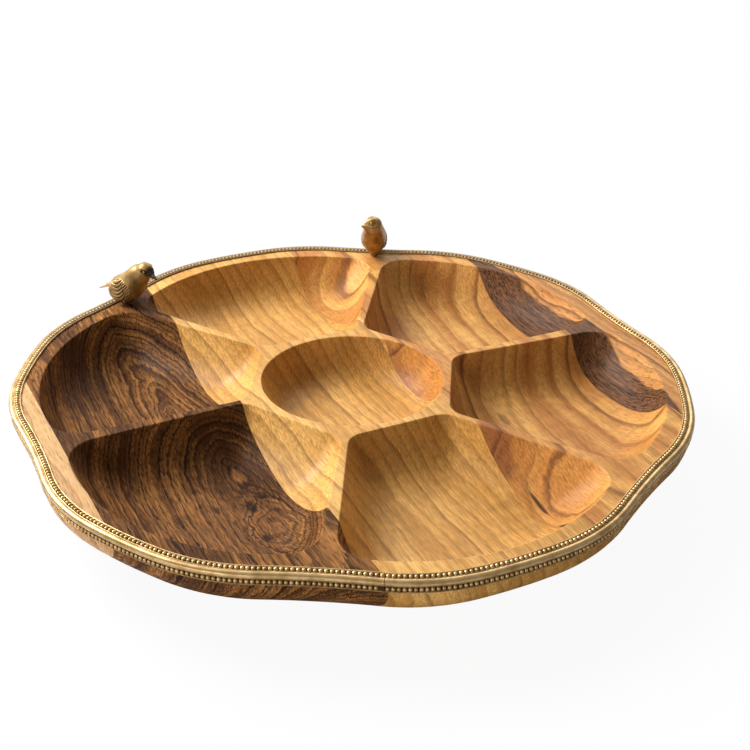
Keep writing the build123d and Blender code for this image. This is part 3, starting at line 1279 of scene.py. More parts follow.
@dataclass
class RimStrip:
    """The pressed brass strip: sheet, half-round moulding and two rows of beads."""

    outline: RimOutline = field(default_factory=RimOutline)
    spacing: float = 1.3
    thickness: float = 0.7
    lower_edge: float = 34.0
    moulding_radius: float = 1.75
    moulding_out: float = 4.44
    moulding_height: float = 38.3
    moulding_arc: tuple[float, float] = (128.0, -40.0)
    moulding_steps: int = 14
    upper_bead: tuple[float, float] = (1.9, 39.6)
    lower_bead: tuple[float, float] = (5.05, 35.62)
    bead_radius: float = 0.98
    bead_stretch: float = 1.25
    bead_pitch: float = 2.32
    bead_sides: int = 10
    bead_levels: tuple[float, ...] = (-0.35, 0.0, 0.4, 0.7, 0.9)
    bead_unevenness: float = 0.05
    bead_foot_dark: float = 0.8
    end_room: float = 1.1
    seam_bearing: float = -80.3
    seam_gap: float = 0.25
    sharp_angle: float = 50.0

    def section(self) -> list[tuple[float, float, float]]:
        """The strip's cross-section.

        Returns:
            How far out, how high and how deep in the hollows each corner is, clockwise
            from the inner edge over the top.
        """
        top = WOOD_HEIGHT + self.thickness
        face = EDGE_PROJECTION + self.thickness
        # The third number darkens the brass there: patina and painted shade in the hollows.
        corners = [
            (0.0, WOOD_HEIGHT, 0.6),
            (0.0, top + 0.1, 0.2),
            (0.12, top + 0.26, 0.0),
            (0.4, top + 0.3, 0.0),
            (0.62, top + 0.2, 0.1),
            (0.8, top - 0.32, 0.6),
            (1.2, top - 0.4, 0.8),
            (2.4, top - 0.4, 0.8),
            (2.85, top - 0.34, 0.6),
            (3.1, top - 0.1, 0.1),
            (3.3, top - 0.14, 0.4),
        ]
        start, stop = self.moulding_arc
        for step in range(self.moulding_steps + 1):
            angle = start + (stop - start) * step / self.moulding_steps
            spoke = polar(self.moulding_radius, angle)
            edge = min(step, self.moulding_steps - step)
            corners.append(
                (
                    self.moulding_out + spoke[0],
                    self.moulding_height + spoke[1],
                    max(0.0, 0.7 - edge * 0.35),
                )
            )
        corners += [
            (face + 0.1, 37.02, 0.5),
            (face + 0.2, 36.9, 0.0),
            (face + 0.1, 36.72, 0.1),
            (face - 0.3, 36.6, 0.8),
            (face - 0.38, 35.4, 0.8),
            (face - 0.3, 34.6, 0.7),
            (face + 0.25, 34.5, 0.1),
            (face + 0.4, 34.3, 0.0),
            (face + 0.3, 34.06, 0.0),
            (face - 0.2, self.lower_edge, 0.2),
            (EDGE_PROJECTION, self.lower_edge, 0.8),
            (EDGE_PROJECTION, WOOD_HEIGHT - CHAMFER, 1.0),
            (EDGE_PROJECTION - CHAMFER, WOOD_HEIGHT, 1.0),
        ]
        return corners

    def build(self, finish: BrassFinish) -> bpy.types.Object:
        """Builds the strip.

        Args:
            finish: Its brass.

        Returns:
            The strip, in place of its CAD node.
        """
        mesh = bmesh.new()
        recess = mesh.verts.layers.float.new("recess")
        self.sweep(mesh, recess)
        self.beads(mesh, recess, self.upper_bead, 90.0, 0.0)
        self.beads(mesh, recess, self.lower_bead, 0.0, 0.5)
        data = mesh_data("beaded_rim_strip", mesh)
        smooth(data)
        data.set_sharp_from_angle(angle=math.radians(self.sharp_angle))
        strip = in_scene("beaded_rim_strip", data)
        data.materials.append(finish.material())
        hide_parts("rim_strip")
        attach(strip, "root")
        return strip

    def from_seam(self) -> tuple[np.ndarray, np.ndarray]:
        """Steps round the outline from the seam back to it.

        Returns:
            The points and the directions straight out.
        """
        points, outs = self.outline.stations(self.spacing)
        bearings = np.degrees(np.arctan2(points[:, 1], points[:, 0]))
        turn = int(np.argmin(np.abs(bearings - self.seam_bearing)))
        points = np.roll(points, -turn, axis=0)
        outs = np.roll(outs, -turn, axis=0)
        nudge = (points[1] - points[0]) / np.hypot(*(points[1] - points[0]))
        shift = nudge * self.seam_gap / 2
        points = np.vstack([points[0] + shift, points[1:], points[0] - shift])
        outs = np.vstack([outs, outs[:1]])
        return points, outs

    def sweep(self, mesh: bmesh.types.BMesh, recess: bmesh.types.BMLayerItem) -> None:
        """Carries the section round the rim, closed at both ends.

        Args:
            mesh: The mesh.
            recess: The layer that says how deep in a hollow each vertex is.
        """
        points, outs = self.from_seam()
        section = self.section()
        rows = []
        for point, out in zip(points, outs):
            row = []
            for aside, height, depth in section:
                spot = point + out * aside
                vert = mesh.verts.new((spot[0] * MM, spot[1] * MM, height * MM))
                vert[recess] = depth
                row.append(vert)
            rows.append(row)
        bridge(mesh, rows)
        mesh.faces.new(rows[0][::-1])
        mesh.faces.new(rows[-1])

    def beads(
        self,
        mesh: bmesh.types.BMesh,
        recess: bmesh.types.BMLayerItem,
        seat: tuple[float, float],
        tilt: float,
        offset: float,
    ) -> None:
        """Adds one row of beads.

        Args:
            mesh: The mesh.
            recess: The layer that says how deep in a hollow each vertex is.
            seat: How far out and how high the row's line is.
            tilt: Which way the beads stand up: 90 for upward, 0 for outward.
            offset: How far the row is shifted along, in steps of 0.2 mm.
        """
        points, outs = self.from_seam()
        line = points + outs * seat[0]
        steps = np.hypot(*np.diff(line, axis=0).T)
        reach = np.concatenate([[0.0], np.cumsum(steps)])
        count = int((reach[-1] - self.bead_pitch) / self.bead_pitch)
        pitch = (reach[-1] - self.bead_radius * (2 * self.end_room)) / count
        for number in range(count + 1):
            at = self.bead_radius * self.end_room + number * pitch + offset * 0.2
            if at > reach[-1] - self.bead_radius:
                break
            index = int(np.searchsorted(reach, at)) - 1
            share = (at - reach[index]) / steps[index]
            spot = line[index] * (1 - share) + line[index + 1] * share
            out = outs[index] * (1 - share) + outs[index + 1] * share
            self.bead(mesh, recess, spot, out, seat[1], tilt, number)

    def bead(
        self,
        mesh: bmesh.types.BMesh,
        recess: bmesh.types.BMLayerItem,
        spot: np.ndarray,
        out: np.ndarray,
        height: float,
        tilt: float,
        number: int,
    ) -> None:
        """Adds one bead, a little out of round as pressed ones are.

        Args:
            mesh: The mesh.
            recess: The layer that says how deep in a hollow each vertex is.
            spot: Its middle in plan.
            out: The direction straight out there.
            height: Its middle's height.
            tilt: Which way it stands up.
            number: Its place in the row.
        """
        outward = Vector((out[0], out[1], 0.0)).normalized()
        up = Vector(UP)
        angle = math.radians(tilt)
        pole = outward * math.cos(angle) + up * math.sin(angle)
        run = up.cross(outward)
        side = pole.cross(run)
        radius = self.bead_radius * (1 + self.bead_unevenness * math.sin(number * 2.39))
        middle = Vector((spot[0], spot[1], height))
        rings = []
        for level in self.bead_levels:
            width = math.sqrt(1 - level**2) * radius
            ring = []
            for step in range(self.bead_sides):
                turn = math.tau * step / self.bead_sides
                place = middle + pole * level * radius
                place = place + run * width * math.cos(turn)
                place = place + side * width * self.bead_stretch * math.sin(turn)
                vert = mesh.verts.new(place * MM)
                # Darker towards the bead's foot: patina and painted shade where it meets
                # the sheet.
                foot = level - self.bead_levels[0]
                vert[recess] = max(0.0, self.bead_foot_dark - foot * 1.5)
                ring.append(vert)
            rings.append(ring)
        top = mesh.verts.new((middle + pole * radius) * MM)
        top[recess] = 0.0
        bridge(mesh, rings)
        for step, vert in enumerate(rings[-1]):
            mesh.faces.new((vert, rings[-1][(step + 1) % self.bead_sides], top))
        mesh.faces.new(rings[0][::-1])


@dataclass(frozen=True)
class Blob:
    """One section of a bird's body: how far along, how far off the line, half sizes."""

    along: float
    aside: float
    half_height: float
    half_width: float


@dataclass(frozen=True)
class Plumage:
    """Sizes of a bird's worked feathers."""

    wing_tilt: float = 0.44
    wing_origin: tuple[float, float] = (6.2, 8.8)
    wing_outline: tuple[float, float] = (8.8, 6.8)
    wing_edge: tuple[float, float] = (1.0, -0.10)
    wing_lift: float = 0.35
    flank: tuple[float, float] = (0.2, 0.3)
    split_place: tuple[float, float] = (-4.0, 15.0)
    split_slope: float = 0.31
    split_fade: float = 0.3
    bow_place: tuple[float, float] = (8.0, 13.0)
    bow_lean: float = 0.2
    bow_reach: float = 4.4
    bow_height: float = 1.7
    flight_slope: float = 0.28
    flight_pitch: float = 2.1
    covert_slope: float = 0.95
    covert_pitch: float = 1.75
    crowns: tuple[float, float] = (0.55, 0.45)
    crown_fall: float = 0.7
    cuts: tuple[float, float] = (0.5, 0.4)
    groove_width: float = 0.13
    border_width: float = 0.28
    border_depth: float = 0.45
    border_dark: float = 1.6
    tail: tuple[float, float] = (-13.0, -1.2)
    quill_place: float = 0.2
    quill_depth: float = 0.2
    quill_dark: float = 0.6
    mantle_bottom: tuple[float, float] = (14.0, 4.0)
    mantle_front: tuple[float, float] = (9.5, -4.0)
    mantle_slope: float = 0.8
    mantle_pitch: tuple[float, float] = (1.5, 1.1)
    mantle_scale: float = 0.8
    mantle_gap: tuple[float, float] = (0.75, 0.2)
    mantle_dark: float = 0.7


@dataclass(frozen=True)
class EyeForm:
    """Sizes of a bird's worked eyes, beak and face."""

    head_bottom: float = 19.0
    face_bottom: float = 22.0
    face: tuple[float, float] = (2.2, 2.4)
    behind: float = 2.9
    ahead: float = 2.3
    breadth: float = 1.2
    ball_radius: float = 0.95
    ball_height: float = 0.9
    hollow_edge: float = 1.15
    hollow_depth: float = 0.7
    brow: tuple[float, float] = (1.42, 0.2)
    brow_height: float = 0.34
    beak: tuple[float, float] = (6.2, 1.5)
    mouth: tuple[float, float] = (5.4, 0.6)
    mouth_width: float = 0.22
    mouth_depth: float = 0.22


@dataclass
class Bird:
    """One cast brass bird: forms fused in one skin, then feathers and eyes worked in."""

    name: str
    bearing: float
    head_turn: float
    head: tuple[float, float]
    wing: tuple[float, float]
    climb: float = 40.0
    beak_drop: float = 0.17
    eye_lift: float = 16.0
    mantle: float = 0.0
    # Painted shade over the face, beak and eye hollows, 0 to 1.
    painted_face_shade: float = 0.0
    stand: float = BIRD_DISTANCE
    rump: tuple[float, float] = (-11.5, 7.2)
    head_size: float = 5.2
    eye_spread: float = 52.0
    eye_tilt: float = 13.0
    eye_size: float = 1.0
    tail_tip: float = 5.0
    beak_length: float = 1.0
    wing_spread: float = 6.5
    girth: float = 1.0
    belly: tuple[float, float] = (2.2, 9.7)
    voxel: float = 0.23
    hole_radius: float = HOLE_RADIUS
    hole_depth: float = 6.5
    drill_start: float = 1.0
    ring_points: int = 28
    ball_levels: int = 16
    foot: tuple[tuple[float, float], ...] = (
        (0.0, 2.6), (0.8, 2.7), (1.8, 2.9), (3.2, 4.2), (6.0, 5.6),
    )
    foot_lean: float = 0.18
    belly_length: tuple[float, float, float] = (9.2, 0.0, 1.6)
    belly_breadth: float = 7.7
    belly_height: tuple[float, float, float] = (-1.2, 0.0, 8.0)
    wing_axes: tuple[float, float, float] = (8.6, 6.4, 1.6)
    tail_feathers: tuple[tuple[float, float, float], ...] = (
        (1.2, 17.6, 0.9), (-1.0, 21.0, 0.0),
    )
    tail_taper: tuple[tuple[float, float, float], ...] = (
        (0.28, 2.6, 2.2), (0.5, 2.3, 1.3), (0.72, 1.9, 0.75), (0.9, 1.6, 0.5),
        (1.0, 1.2, 0.42),
    )
    tail_root: float = 10.6
    tail_reach: tuple[float, float] = (6.0, 15.0)
    skull: tuple[float, float, float] = (1.06, 0.98, 1.04)
    face: tuple[float, float, float] = (0.88, 0.74, 0.72)
    beak_root: float = 3.6
    beak_height: float = 0.45
    beak_reach: float = 2.5
    beak_taper: tuple[tuple[float, float, float], ...] = (
        (3.6, 2.4, 2.2), (5.6, 1.75, 1.6), (7.4, 1.15, 1.05), (9.0, 0.6, 0.55),
        (9.9, 0.2, 0.2),
    )
    plumage: Plumage = Plumage()
    eye: EyeForm = EyeForm()
    plump_back: tuple[float, float] = (-11.0, 3.0)
    plump_front: tuple[float, float] = (6.0, -1.5)
    smoothings: tuple[int, int, int, int] = (5, 60, 1, 10)
    hollow_depth: float = 0.16
    sections: tuple[Blob, ...] = (
        Blob(0.0, -0.4, 1.4, 1.8),
        Blob(3.0, -1.2, 4.3, 4.6),
        Blob(7.0, -2.8, 6.4, 6.6),
        Blob(11.0, -4.2, 7.6, 7.6),
        Blob(15.0, -4.7, 8.1, 7.8),
        Blob(19.0, -4.3, 7.9, 7.6),
        Blob(23.0, -3.3, 7.3, 7.0),
        Blob(26.5, -2.4, 6.4, 6.1),
        Blob(29.5, -2.4, 5.2, 5.1),
        Blob(31.5, -2.4, 2.6, 2.6),
    )

    def loft(self, mesh: bmesh.types.BMesh, rings: Sequence[Sequence[Vector]]) -> None:
        """Skins closed rings and caps both ends.

        Args:
            mesh: The mesh.
            rings: Rings with as many points each.
        """
        rows = [[mesh.verts.new(point) for point in ring] for ring in rings]
        bridge(mesh, rows)
        mesh.faces.new(rows[0][::-1])
        mesh.faces.new(rows[-1])

    def ellipse(self, middle: Vector, first: Vector, second: Vector) -> list[Vector]:
        """A ring of points round an ellipse.

        Args:
            middle: Its middle.
            first: One half axis.
            second: The other.

        Returns:
            The points.
        """
        turns = [math.tau * step / self.ring_points for step in range(self.ring_points)]
        return [
            middle + first * math.cos(turn) + second * math.sin(turn) for turn in turns
        ]

    def ball(self, mesh: bmesh.types.BMesh, middle: Vector, axes: Sequence[Vector]) -> None:
        """Adds an ellipsoid.

        Args:
            mesh: The mesh.
            middle: Its middle.
            axes: Its three half axes.
        """
        rings = []
        for step in range(1, self.ball_levels):
            angle = math.pi * step / self.ball_levels
            heart = middle - axes[0] * math.cos(angle)
            reach = math.sin(angle)
            rings.append(self.ellipse(heart, axes[1] * reach, axes[2] * reach))
        self.loft(mesh, rings)

    def solid(self) -> bpy.types.Mesh:
        """Models the plain forms and fuses them.

        Returns:
            One closed skin, in millimetres, in the bird's own frame.
        """
        mesh = bmesh.new()
        angle = math.radians(self.climb)
        line = Vector((math.cos(angle), 0.0, math.sin(angle)))
        up = Vector((-math.sin(angle), 0.0, math.cos(angle)))
        side = Vector((0.0, 1.0, 0.0))
        start = Vector((self.rump[0], 0.0, self.rump[1]))
        rings = []
        for blob in self.sections:
            middle = start + line * blob.along + up * blob.aside
            half_width = side * -blob.half_width * self.girth
            rings.append(self.ellipse(middle, up * blob.half_height, half_width))
        self.loft(mesh, rings)
        rings = []
        for level, reach in self.foot:
            middle = Vector((level * self.foot_lean, 0.0, level))
            axes = (Vector((reach, 0.0, 0.0)), Vector((0.0, reach, 0.0)))
            rings.append(self.ellipse(middle, *axes))
        self.loft(mesh, rings)
        broad = Vector((0.0, self.belly_breadth * self.girth, 0.0))
        belly = (Vector(self.belly_length), broad, Vector(self.belly_height))
        self.ball(mesh, Vector((self.belly[0], 0.0, self.belly[1])), belly)
        for sign in (1, -1):
            run = Vector((0.9, sign * -0.06, 0.42)).normalized()
            out = Vector((0.06, sign, 0.1)).normalized()
            rise = run.cross(out).normalized()
            middle = Vector((self.wing[0], sign * self.wing_spread, self.wing[1]))
            length, breadth, thick = self.wing_axes
            self.ball(mesh, middle, (run * length, rise * breadth, out * thick))
        for aside, length, lift in self.tail_feathers:
            rings = []
            for share, width, thick in self.tail_taper:
                reach = length * share
                beyond = reach - self.tail_reach[0]
                sink = (self.tail_tip - self.tail_root) * beyond / self.tail_reach[1]
                middle = Vector((-reach, aside, self.tail_root + sink + lift * share))
                axes = (Vector((0.0, 0.0, thick)), Vector((0.0, width, 0.0)))
                rings.append(self.ellipse(middle, *axes))
            self.loft(mesh, rings)
        self.model_head(mesh)
        bmesh.ops.recalc_face_normals(mesh, faces=mesh.faces)
        rough = mesh_data(f"{self.name}_forms", mesh)
        forms = in_scene(f"{self.name}_forms", rough)
        fuse = forms.modifiers.new("fuse", "REMESH")
        fuse.mode = "VOXEL"
        fuse.voxel_size = self.voxel
        fused = forms.evaluated_get(bpy.context.evaluated_depsgraph_get())
        skin = bpy.data.meshes.new_from_object(fused)
        bpy.data.objects.remove(forms)
        bpy.data.meshes.remove(rough)
        return skin

    def head_axes(self) -> tuple[Vector, Vector, Vector, Vector]:
        """The turned head's frame.

        Returns:
            Its middle, and its directions forward, left and up.
        """
        angle = math.radians(self.head_turn)
        ahead = Vector((math.cos(angle), math.sin(angle), 0.0))
        left = Vector((-math.sin(angle), math.cos(angle), 0.0))
        return Vector((self.head[0], 0.0, self.head[1])), ahead, left, Vector(UP)

    def model_head(self, mesh: bmesh.types.BMesh) -> None:
        """Adds skull, face and beak.

        Args:
            mesh: The mesh.
        """
        middle, *axes = self.head_axes()
        ahead, left, up = axes
        face = middle + ahead * 1.9 - up * 0.6
        for spot, shares in ((middle, self.skull), (face, self.face)):
            sizes = [axis * self.head_size * share for axis, share in zip(axes, shares)]
            self.ball(mesh, spot, sizes)
        rings = []
        for reach, width, thick in self.beak_taper:
            run = (reach - self.beak_root) * self.beak_length
            drop = self.beak_height + run * self.beak_drop
            spot = middle + ahead * (self.beak_root + run) - up * drop
            rings.append(self.ellipse(spot, left * width, up * thick))
        self.loft(mesh, rings)

    def relief(
        self, places: np.ndarray, normals: np.ndarray
    ) -> tuple[np.ndarray, np.ndarray]:
        """Works out feathers and eyes on the fused skin.

        Args:
            places: The skin's vertices, in the bird's own frame.
            normals: Their normals.

        Returns:
            How far each vertex moves along its normal, and how dark its hollow is.
        """
        sizes = self.plumage
        move, dark = self.wing_relief(places, normals)
        x, y, z = places.T
        quill = ramp(x, *sizes.tail) * bell(y, sizes.quill_place, sizes.border_width)
        move -= quill * sizes.quill_depth
        dark += quill * sizes.quill_dark
        if self.mantle:
            area = ramp(z, *sizes.mantle_bottom) * ramp(x, *sizes.mantle_front)
            row = (z + x * sizes.mantle_slope) / sizes.mantle_pitch[0]
            column = y / sizes.mantle_pitch[1] + 0.5 * (np.floor(row) % 2)
            scale = np.hypot(row - np.floor(row), (column - np.floor(column) - 0.5) * 0.9)
            move += area * self.mantle * np.clip(sizes.mantle_scale - scale, 0, 1)
            dark += area * ramp(scale, *sizes.mantle_gap) * sizes.mantle_dark
        eye_move, eye_dark = self.eyes(places)
        return move + eye_move, np.clip(dark + eye_dark, 0, 1)

    def wing_relief(
        self, places: np.ndarray, normals: np.ndarray
    ) -> tuple[np.ndarray, np.ndarray]:
        """Works out the folded wings: coverts in front, flight feathers behind.

        Args:
            places: The skin's vertices, in the bird's own frame.
            normals: Their normals.

        Returns:
            How far each vertex moves along its normal, and how dark its hollow is.
        """
        sizes = self.plumage
        back, low = sizes.wing_origin
        x, _, z = places.T
        x = x - self.wing[0] - back
        z = z - self.wing[1] + low
        flank = ramp(np.abs(normals[:, 1]), *sizes.flank)
        cosine, sine = math.cos(sizes.wing_tilt), math.sin(sizes.wing_tilt)
        run = (x + back) * cosine + (z - low) * sine
        rise = -(x + back) * sine + (z - low) * cosine
        spread = np.hypot(run / sizes.wing_outline[0], rise / sizes.wing_outline[1])
        wing = ramp(spread, *sizes.wing_edge) * flank
        split = sizes.split_place[0] + (sizes.split_place[1] - z) * sizes.split_slope
        coverts = ramp(x, split, sizes.split_fade)
        reach = x + sizes.bow_place[0]
        bow = (reach - (sizes.bow_place[1] - z) * sizes.bow_lean) / sizes.bow_reach
        flight = z - sizes.flight_slope * reach - bow**2 * sizes.bow_height
        flight = flight / sizes.flight_pitch
        short = (z - sizes.covert_slope * x) / sizes.covert_pitch
        long_form, groove = self.feathers(flight, sizes.crowns[0], sizes.cuts[0])
        short_form, notch = self.feathers(short, sizes.crowns[1], sizes.cuts[1])
        border = bell(x, split, sizes.border_width) * sizes.border_depth
        form = long_form * (1 - coverts) + short_form * coverts - border
        form = form + sizes.wing_lift
        hollow = groove * (1 - coverts) + notch * coverts
        return wing * form, wing * np.maximum(hollow, border * sizes.border_dark)

    def feathers(
        self, rows: np.ndarray, crown: float, cut: float
    ) -> tuple[np.ndarray, np.ndarray]:
        """Works out feathers that lie in rows, with a groove between each two.

        Args:
            rows: The row each vertex is in, and how far through it.
            crown: How high a feather stands.
            cut: How deep the groove is.

        Returns:
            The height of each vertex, and how close it is to a groove.
        """
        part = rows - np.floor(rows)
        groove = bell(np.minimum(part, 1 - part), 0.0, self.plumage.groove_width)
        return crown * (1 - part) ** self.plumage.crown_fall - cut * groove, groove

    def eyes(self, places: np.ndarray) -> tuple[np.ndarray, np.ndarray]:
        """Works out both eyes and darkens the beak and mouth; painted_face_shade adds
        painted shade to the face, beak and eye hollows.

        Args:
            places: The skin's vertices, in the bird's own frame.

        Returns:
            How far each vertex moves outward, and how dark it is.
        """
        middle, ahead, left, _ = self.head_axes()
        away = places - np.array(middle)
        distance = np.linalg.norm(away, axis=1)
        forward = away @ np.array(ahead)
        across = away @ np.array(left)
        bearing = np.degrees(np.arctan2(across, forward))
        lift = np.degrees(np.arcsin(np.clip(away[:, 2] / distance, -1, 1)))
        sizes = self.eye
        near = (distance < self.head_size * 1.5) & (places[:, 2] > sizes.head_bottom)
        move = np.zeros(len(places))
        dark = np.zeros(len(places))
        per_degree = math.radians(1.0) * self.head_size / self.eye_size
        for sign in (1, -1):
            level = -sign * (bearing - sign * self.eye_spread) * per_degree
            rise = (lift - self.eye_lift) * per_degree
            tilt = math.radians(self.eye_tilt)
            front = level * math.cos(tilt) - rise * math.sin(tilt)
            height = level * math.sin(tilt) + rise * math.cos(tilt)
            length = np.where(front < 0, sizes.behind, sizes.ahead)
            breadth = sizes.breadth - 0.1 * front.clip(-3, 3)
            almond = np.hypot(front / length, height / breadth)
            ball = np.clip(1 - np.hypot(front, height) / sizes.ball_radius, 0, 1)
            hollow = np.clip(sizes.hollow_edge - almond, 0, 1)
            form = -sizes.hollow_depth * hollow + sizes.ball_height * np.sqrt(ball)
            move += near * (form + sizes.brow_height * bell(almond, *sizes.brow))
            shut = np.clip(hollow * 2.2, 0, 1) * (1 - np.clip(ball * 3, 0, 1))
            dark += near * shut * (0.6 + self.painted_face_shade * 0.4)
        beside = np.abs(across) < self.beak_reach
        beak = ramp(forward, *sizes.beak) * beside
        fall = self.beak_height + (forward - self.beak_root) * self.beak_drop
        seam = bell(away[:, 2], -fall, sizes.mouth_width)
        mouth = ramp(forward, *sizes.mouth) * beside
        move -= mouth * seam * sizes.mouth_depth
        dark += mouth * seam * 0.8 + beak * 0.35 * (1 + self.painted_face_shade)
        # Painted shade: the front of the head darker, as much as painted_face_shade says.
        face = ramp(forward, *sizes.face) * (places[:, 2] > sizes.face_bottom) * near
        dark += face * self.painted_face_shade * 0.85
        return move, dark

    def build(
        self, finish: BrassFinish, material: bpy.types.Material
    ) -> bpy.types.Object:
        """Builds the bird.

        Args:
            finish: Its brass; not used.
            material: That brass's material, which the birds share.

        Returns:
            The bird, in place of its CAD node.
        """
        skin = self.solid()
        places = values_of(skin.vertices, "co", 3)
        pairs = values_of(skin.edges, "vertices", 2, np.int64)
        first, plumping, last, easing = self.smoothings
        places = self.smoothed(places, pairs, first)
        middle, ahead, _, _ = self.head_axes()
        forward = (places - np.array(middle)) @ np.array(ahead)
        plump = ramp(places[:, 0], *self.plump_back) * ramp(forward, *self.plump_front)
        places = self.smoothed(places, pairs, plumping, plump[:, None])
        normals = self.normals_of(skin, places)
        move, dark = self.relief(places, normals)
        places = places + normals * move[:, None]
        places = self.smoothed(places, pairs, last)
        places[:, 2] = np.maximum(places[:, 2], 0.0)
        normals = self.normals_of(skin, places)
        # Hollows, grooves and eye sockets darken: patina and painted shade, with the
        # painted face shade from the eyes.
        relaxed = self.smoothed(places, pairs, easing)
        sunk = ((relaxed - places) * normals).sum(axis=1)
        hollow = ramp(sunk, 0.0, self.hollow_depth)
        recess = np.clip(np.maximum(dark, hollow * 0.9), 0, 1)
        seat = polar(self.stand, self.bearing)
        ahead = polar(-1.0, self.bearing)
        left = np.array([-ahead[1], ahead[0]])
        world = np.column_stack(
            [
                seat[0] + places[:, 0] * ahead[0] + places[:, 1] * left[0],
                seat[1] + places[:, 0] * ahead[1] + places[:, 1] * left[1],
                WOOD_HEIGHT + places[:, 2],
            ]
        )
        skin.vertices.foreach_set("co", (world * MM).ravel())
        layer = skin.attributes.new("recess", "FLOAT", "POINT")
        layer.data.foreach_set("value", recess)
        bird = in_scene(f"{self.name}_cast", skin)
        self.drill(bird, seat)
        bird.data.materials.clear()
        bird.data.materials.append(material)
        smooth(bird.data)
        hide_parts(self.name)
        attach(bird, "root")
        return bird

    def drill(self, bird: bpy.types.Object, seat: np.ndarray) -> None:
        """Cuts the stud's hole up through the foot.

        Args:
            bird: The bird.
            seat: Where its foot stands, in plan.
        """
        mesh = bmesh.new()
        spots = seat + circle(self.hole_radius, HOLE_SIDES)
        rings = [
            [mesh.verts.new(spot * MM) for spot in lifted(spots, level)]
            for level in (WOOD_HEIGHT - self.drill_start, WOOD_HEIGHT + self.hole_depth)
        ]
        bridge(mesh, rings)
        mesh.faces.new(rings[0][::-1])
        mesh.faces.new(rings[1])
        data = mesh_data("drill", mesh)
        drill = in_scene("drill", data)
        cut = bird.modifiers.new("hole", "BOOLEAN")
        cut.object = drill
        cut.operation = "DIFFERENCE"
        cut.solver = "EXACT"
        drilled = bird.evaluated_get(bpy.context.evaluated_depsgraph_get())
        fresh = bpy.data.meshes.new_from_object(drilled)
        bird.modifiers.clear()
        old = bird.data
        bird.data = fresh
        bpy.data.meshes.remove(old)
        bpy.data.objects.remove(drill)
        bpy.data.meshes.remove(data)

    @staticmethod
    def smoothed(
        places: np.ndarray, pairs: np.ndarray, times: int, share: Level = 1.0
    ) -> np.ndarray:
        """Eases every vertex towards its neighbours.

        Args:
            places: The vertices.
            pairs: The edges.
            times: How often.
            share: How much of each step every vertex takes, 0 to 1.

        Returns:
            The smoother vertices.
        """
        count = len(places)
        ends = np.concatenate([pairs[:, 0], pairs[:, 1]])
        others = np.concatenate([pairs[:, 1], pairs[:, 0]])
        degree = np.bincount(ends, minlength=count)[:, None]
        for _ in range(times):
            total = np.column_stack(
                [
                    np.bincount(ends, weights=places[others, axis], minlength=count)
                    for axis in range(3)
                ]
            )
            places = places + (total / degree - places) * 0.5 * share
        return places

    @staticmethod
    def normals_of(skin: bpy.types.Mesh, places: np.ndarray) -> np.ndarray:
        """Vertex normals for moved vertices.

        Args:
            skin: The mesh whose faces they belong to.
            places: Where they are now.

        Returns:
            Their unit normals.
        """
        skin.vertices.foreach_set("co", places.ravel())
        skin.update()
        return values_of(skin.vertex_normals, "vector", 3)


@dataclass(frozen=True)
class Lamp:
    """A round soft light: where it hangs, how wide it is and its watts."""

    name: str
    place: tuple[float, float, float]
    size: float
    power: float


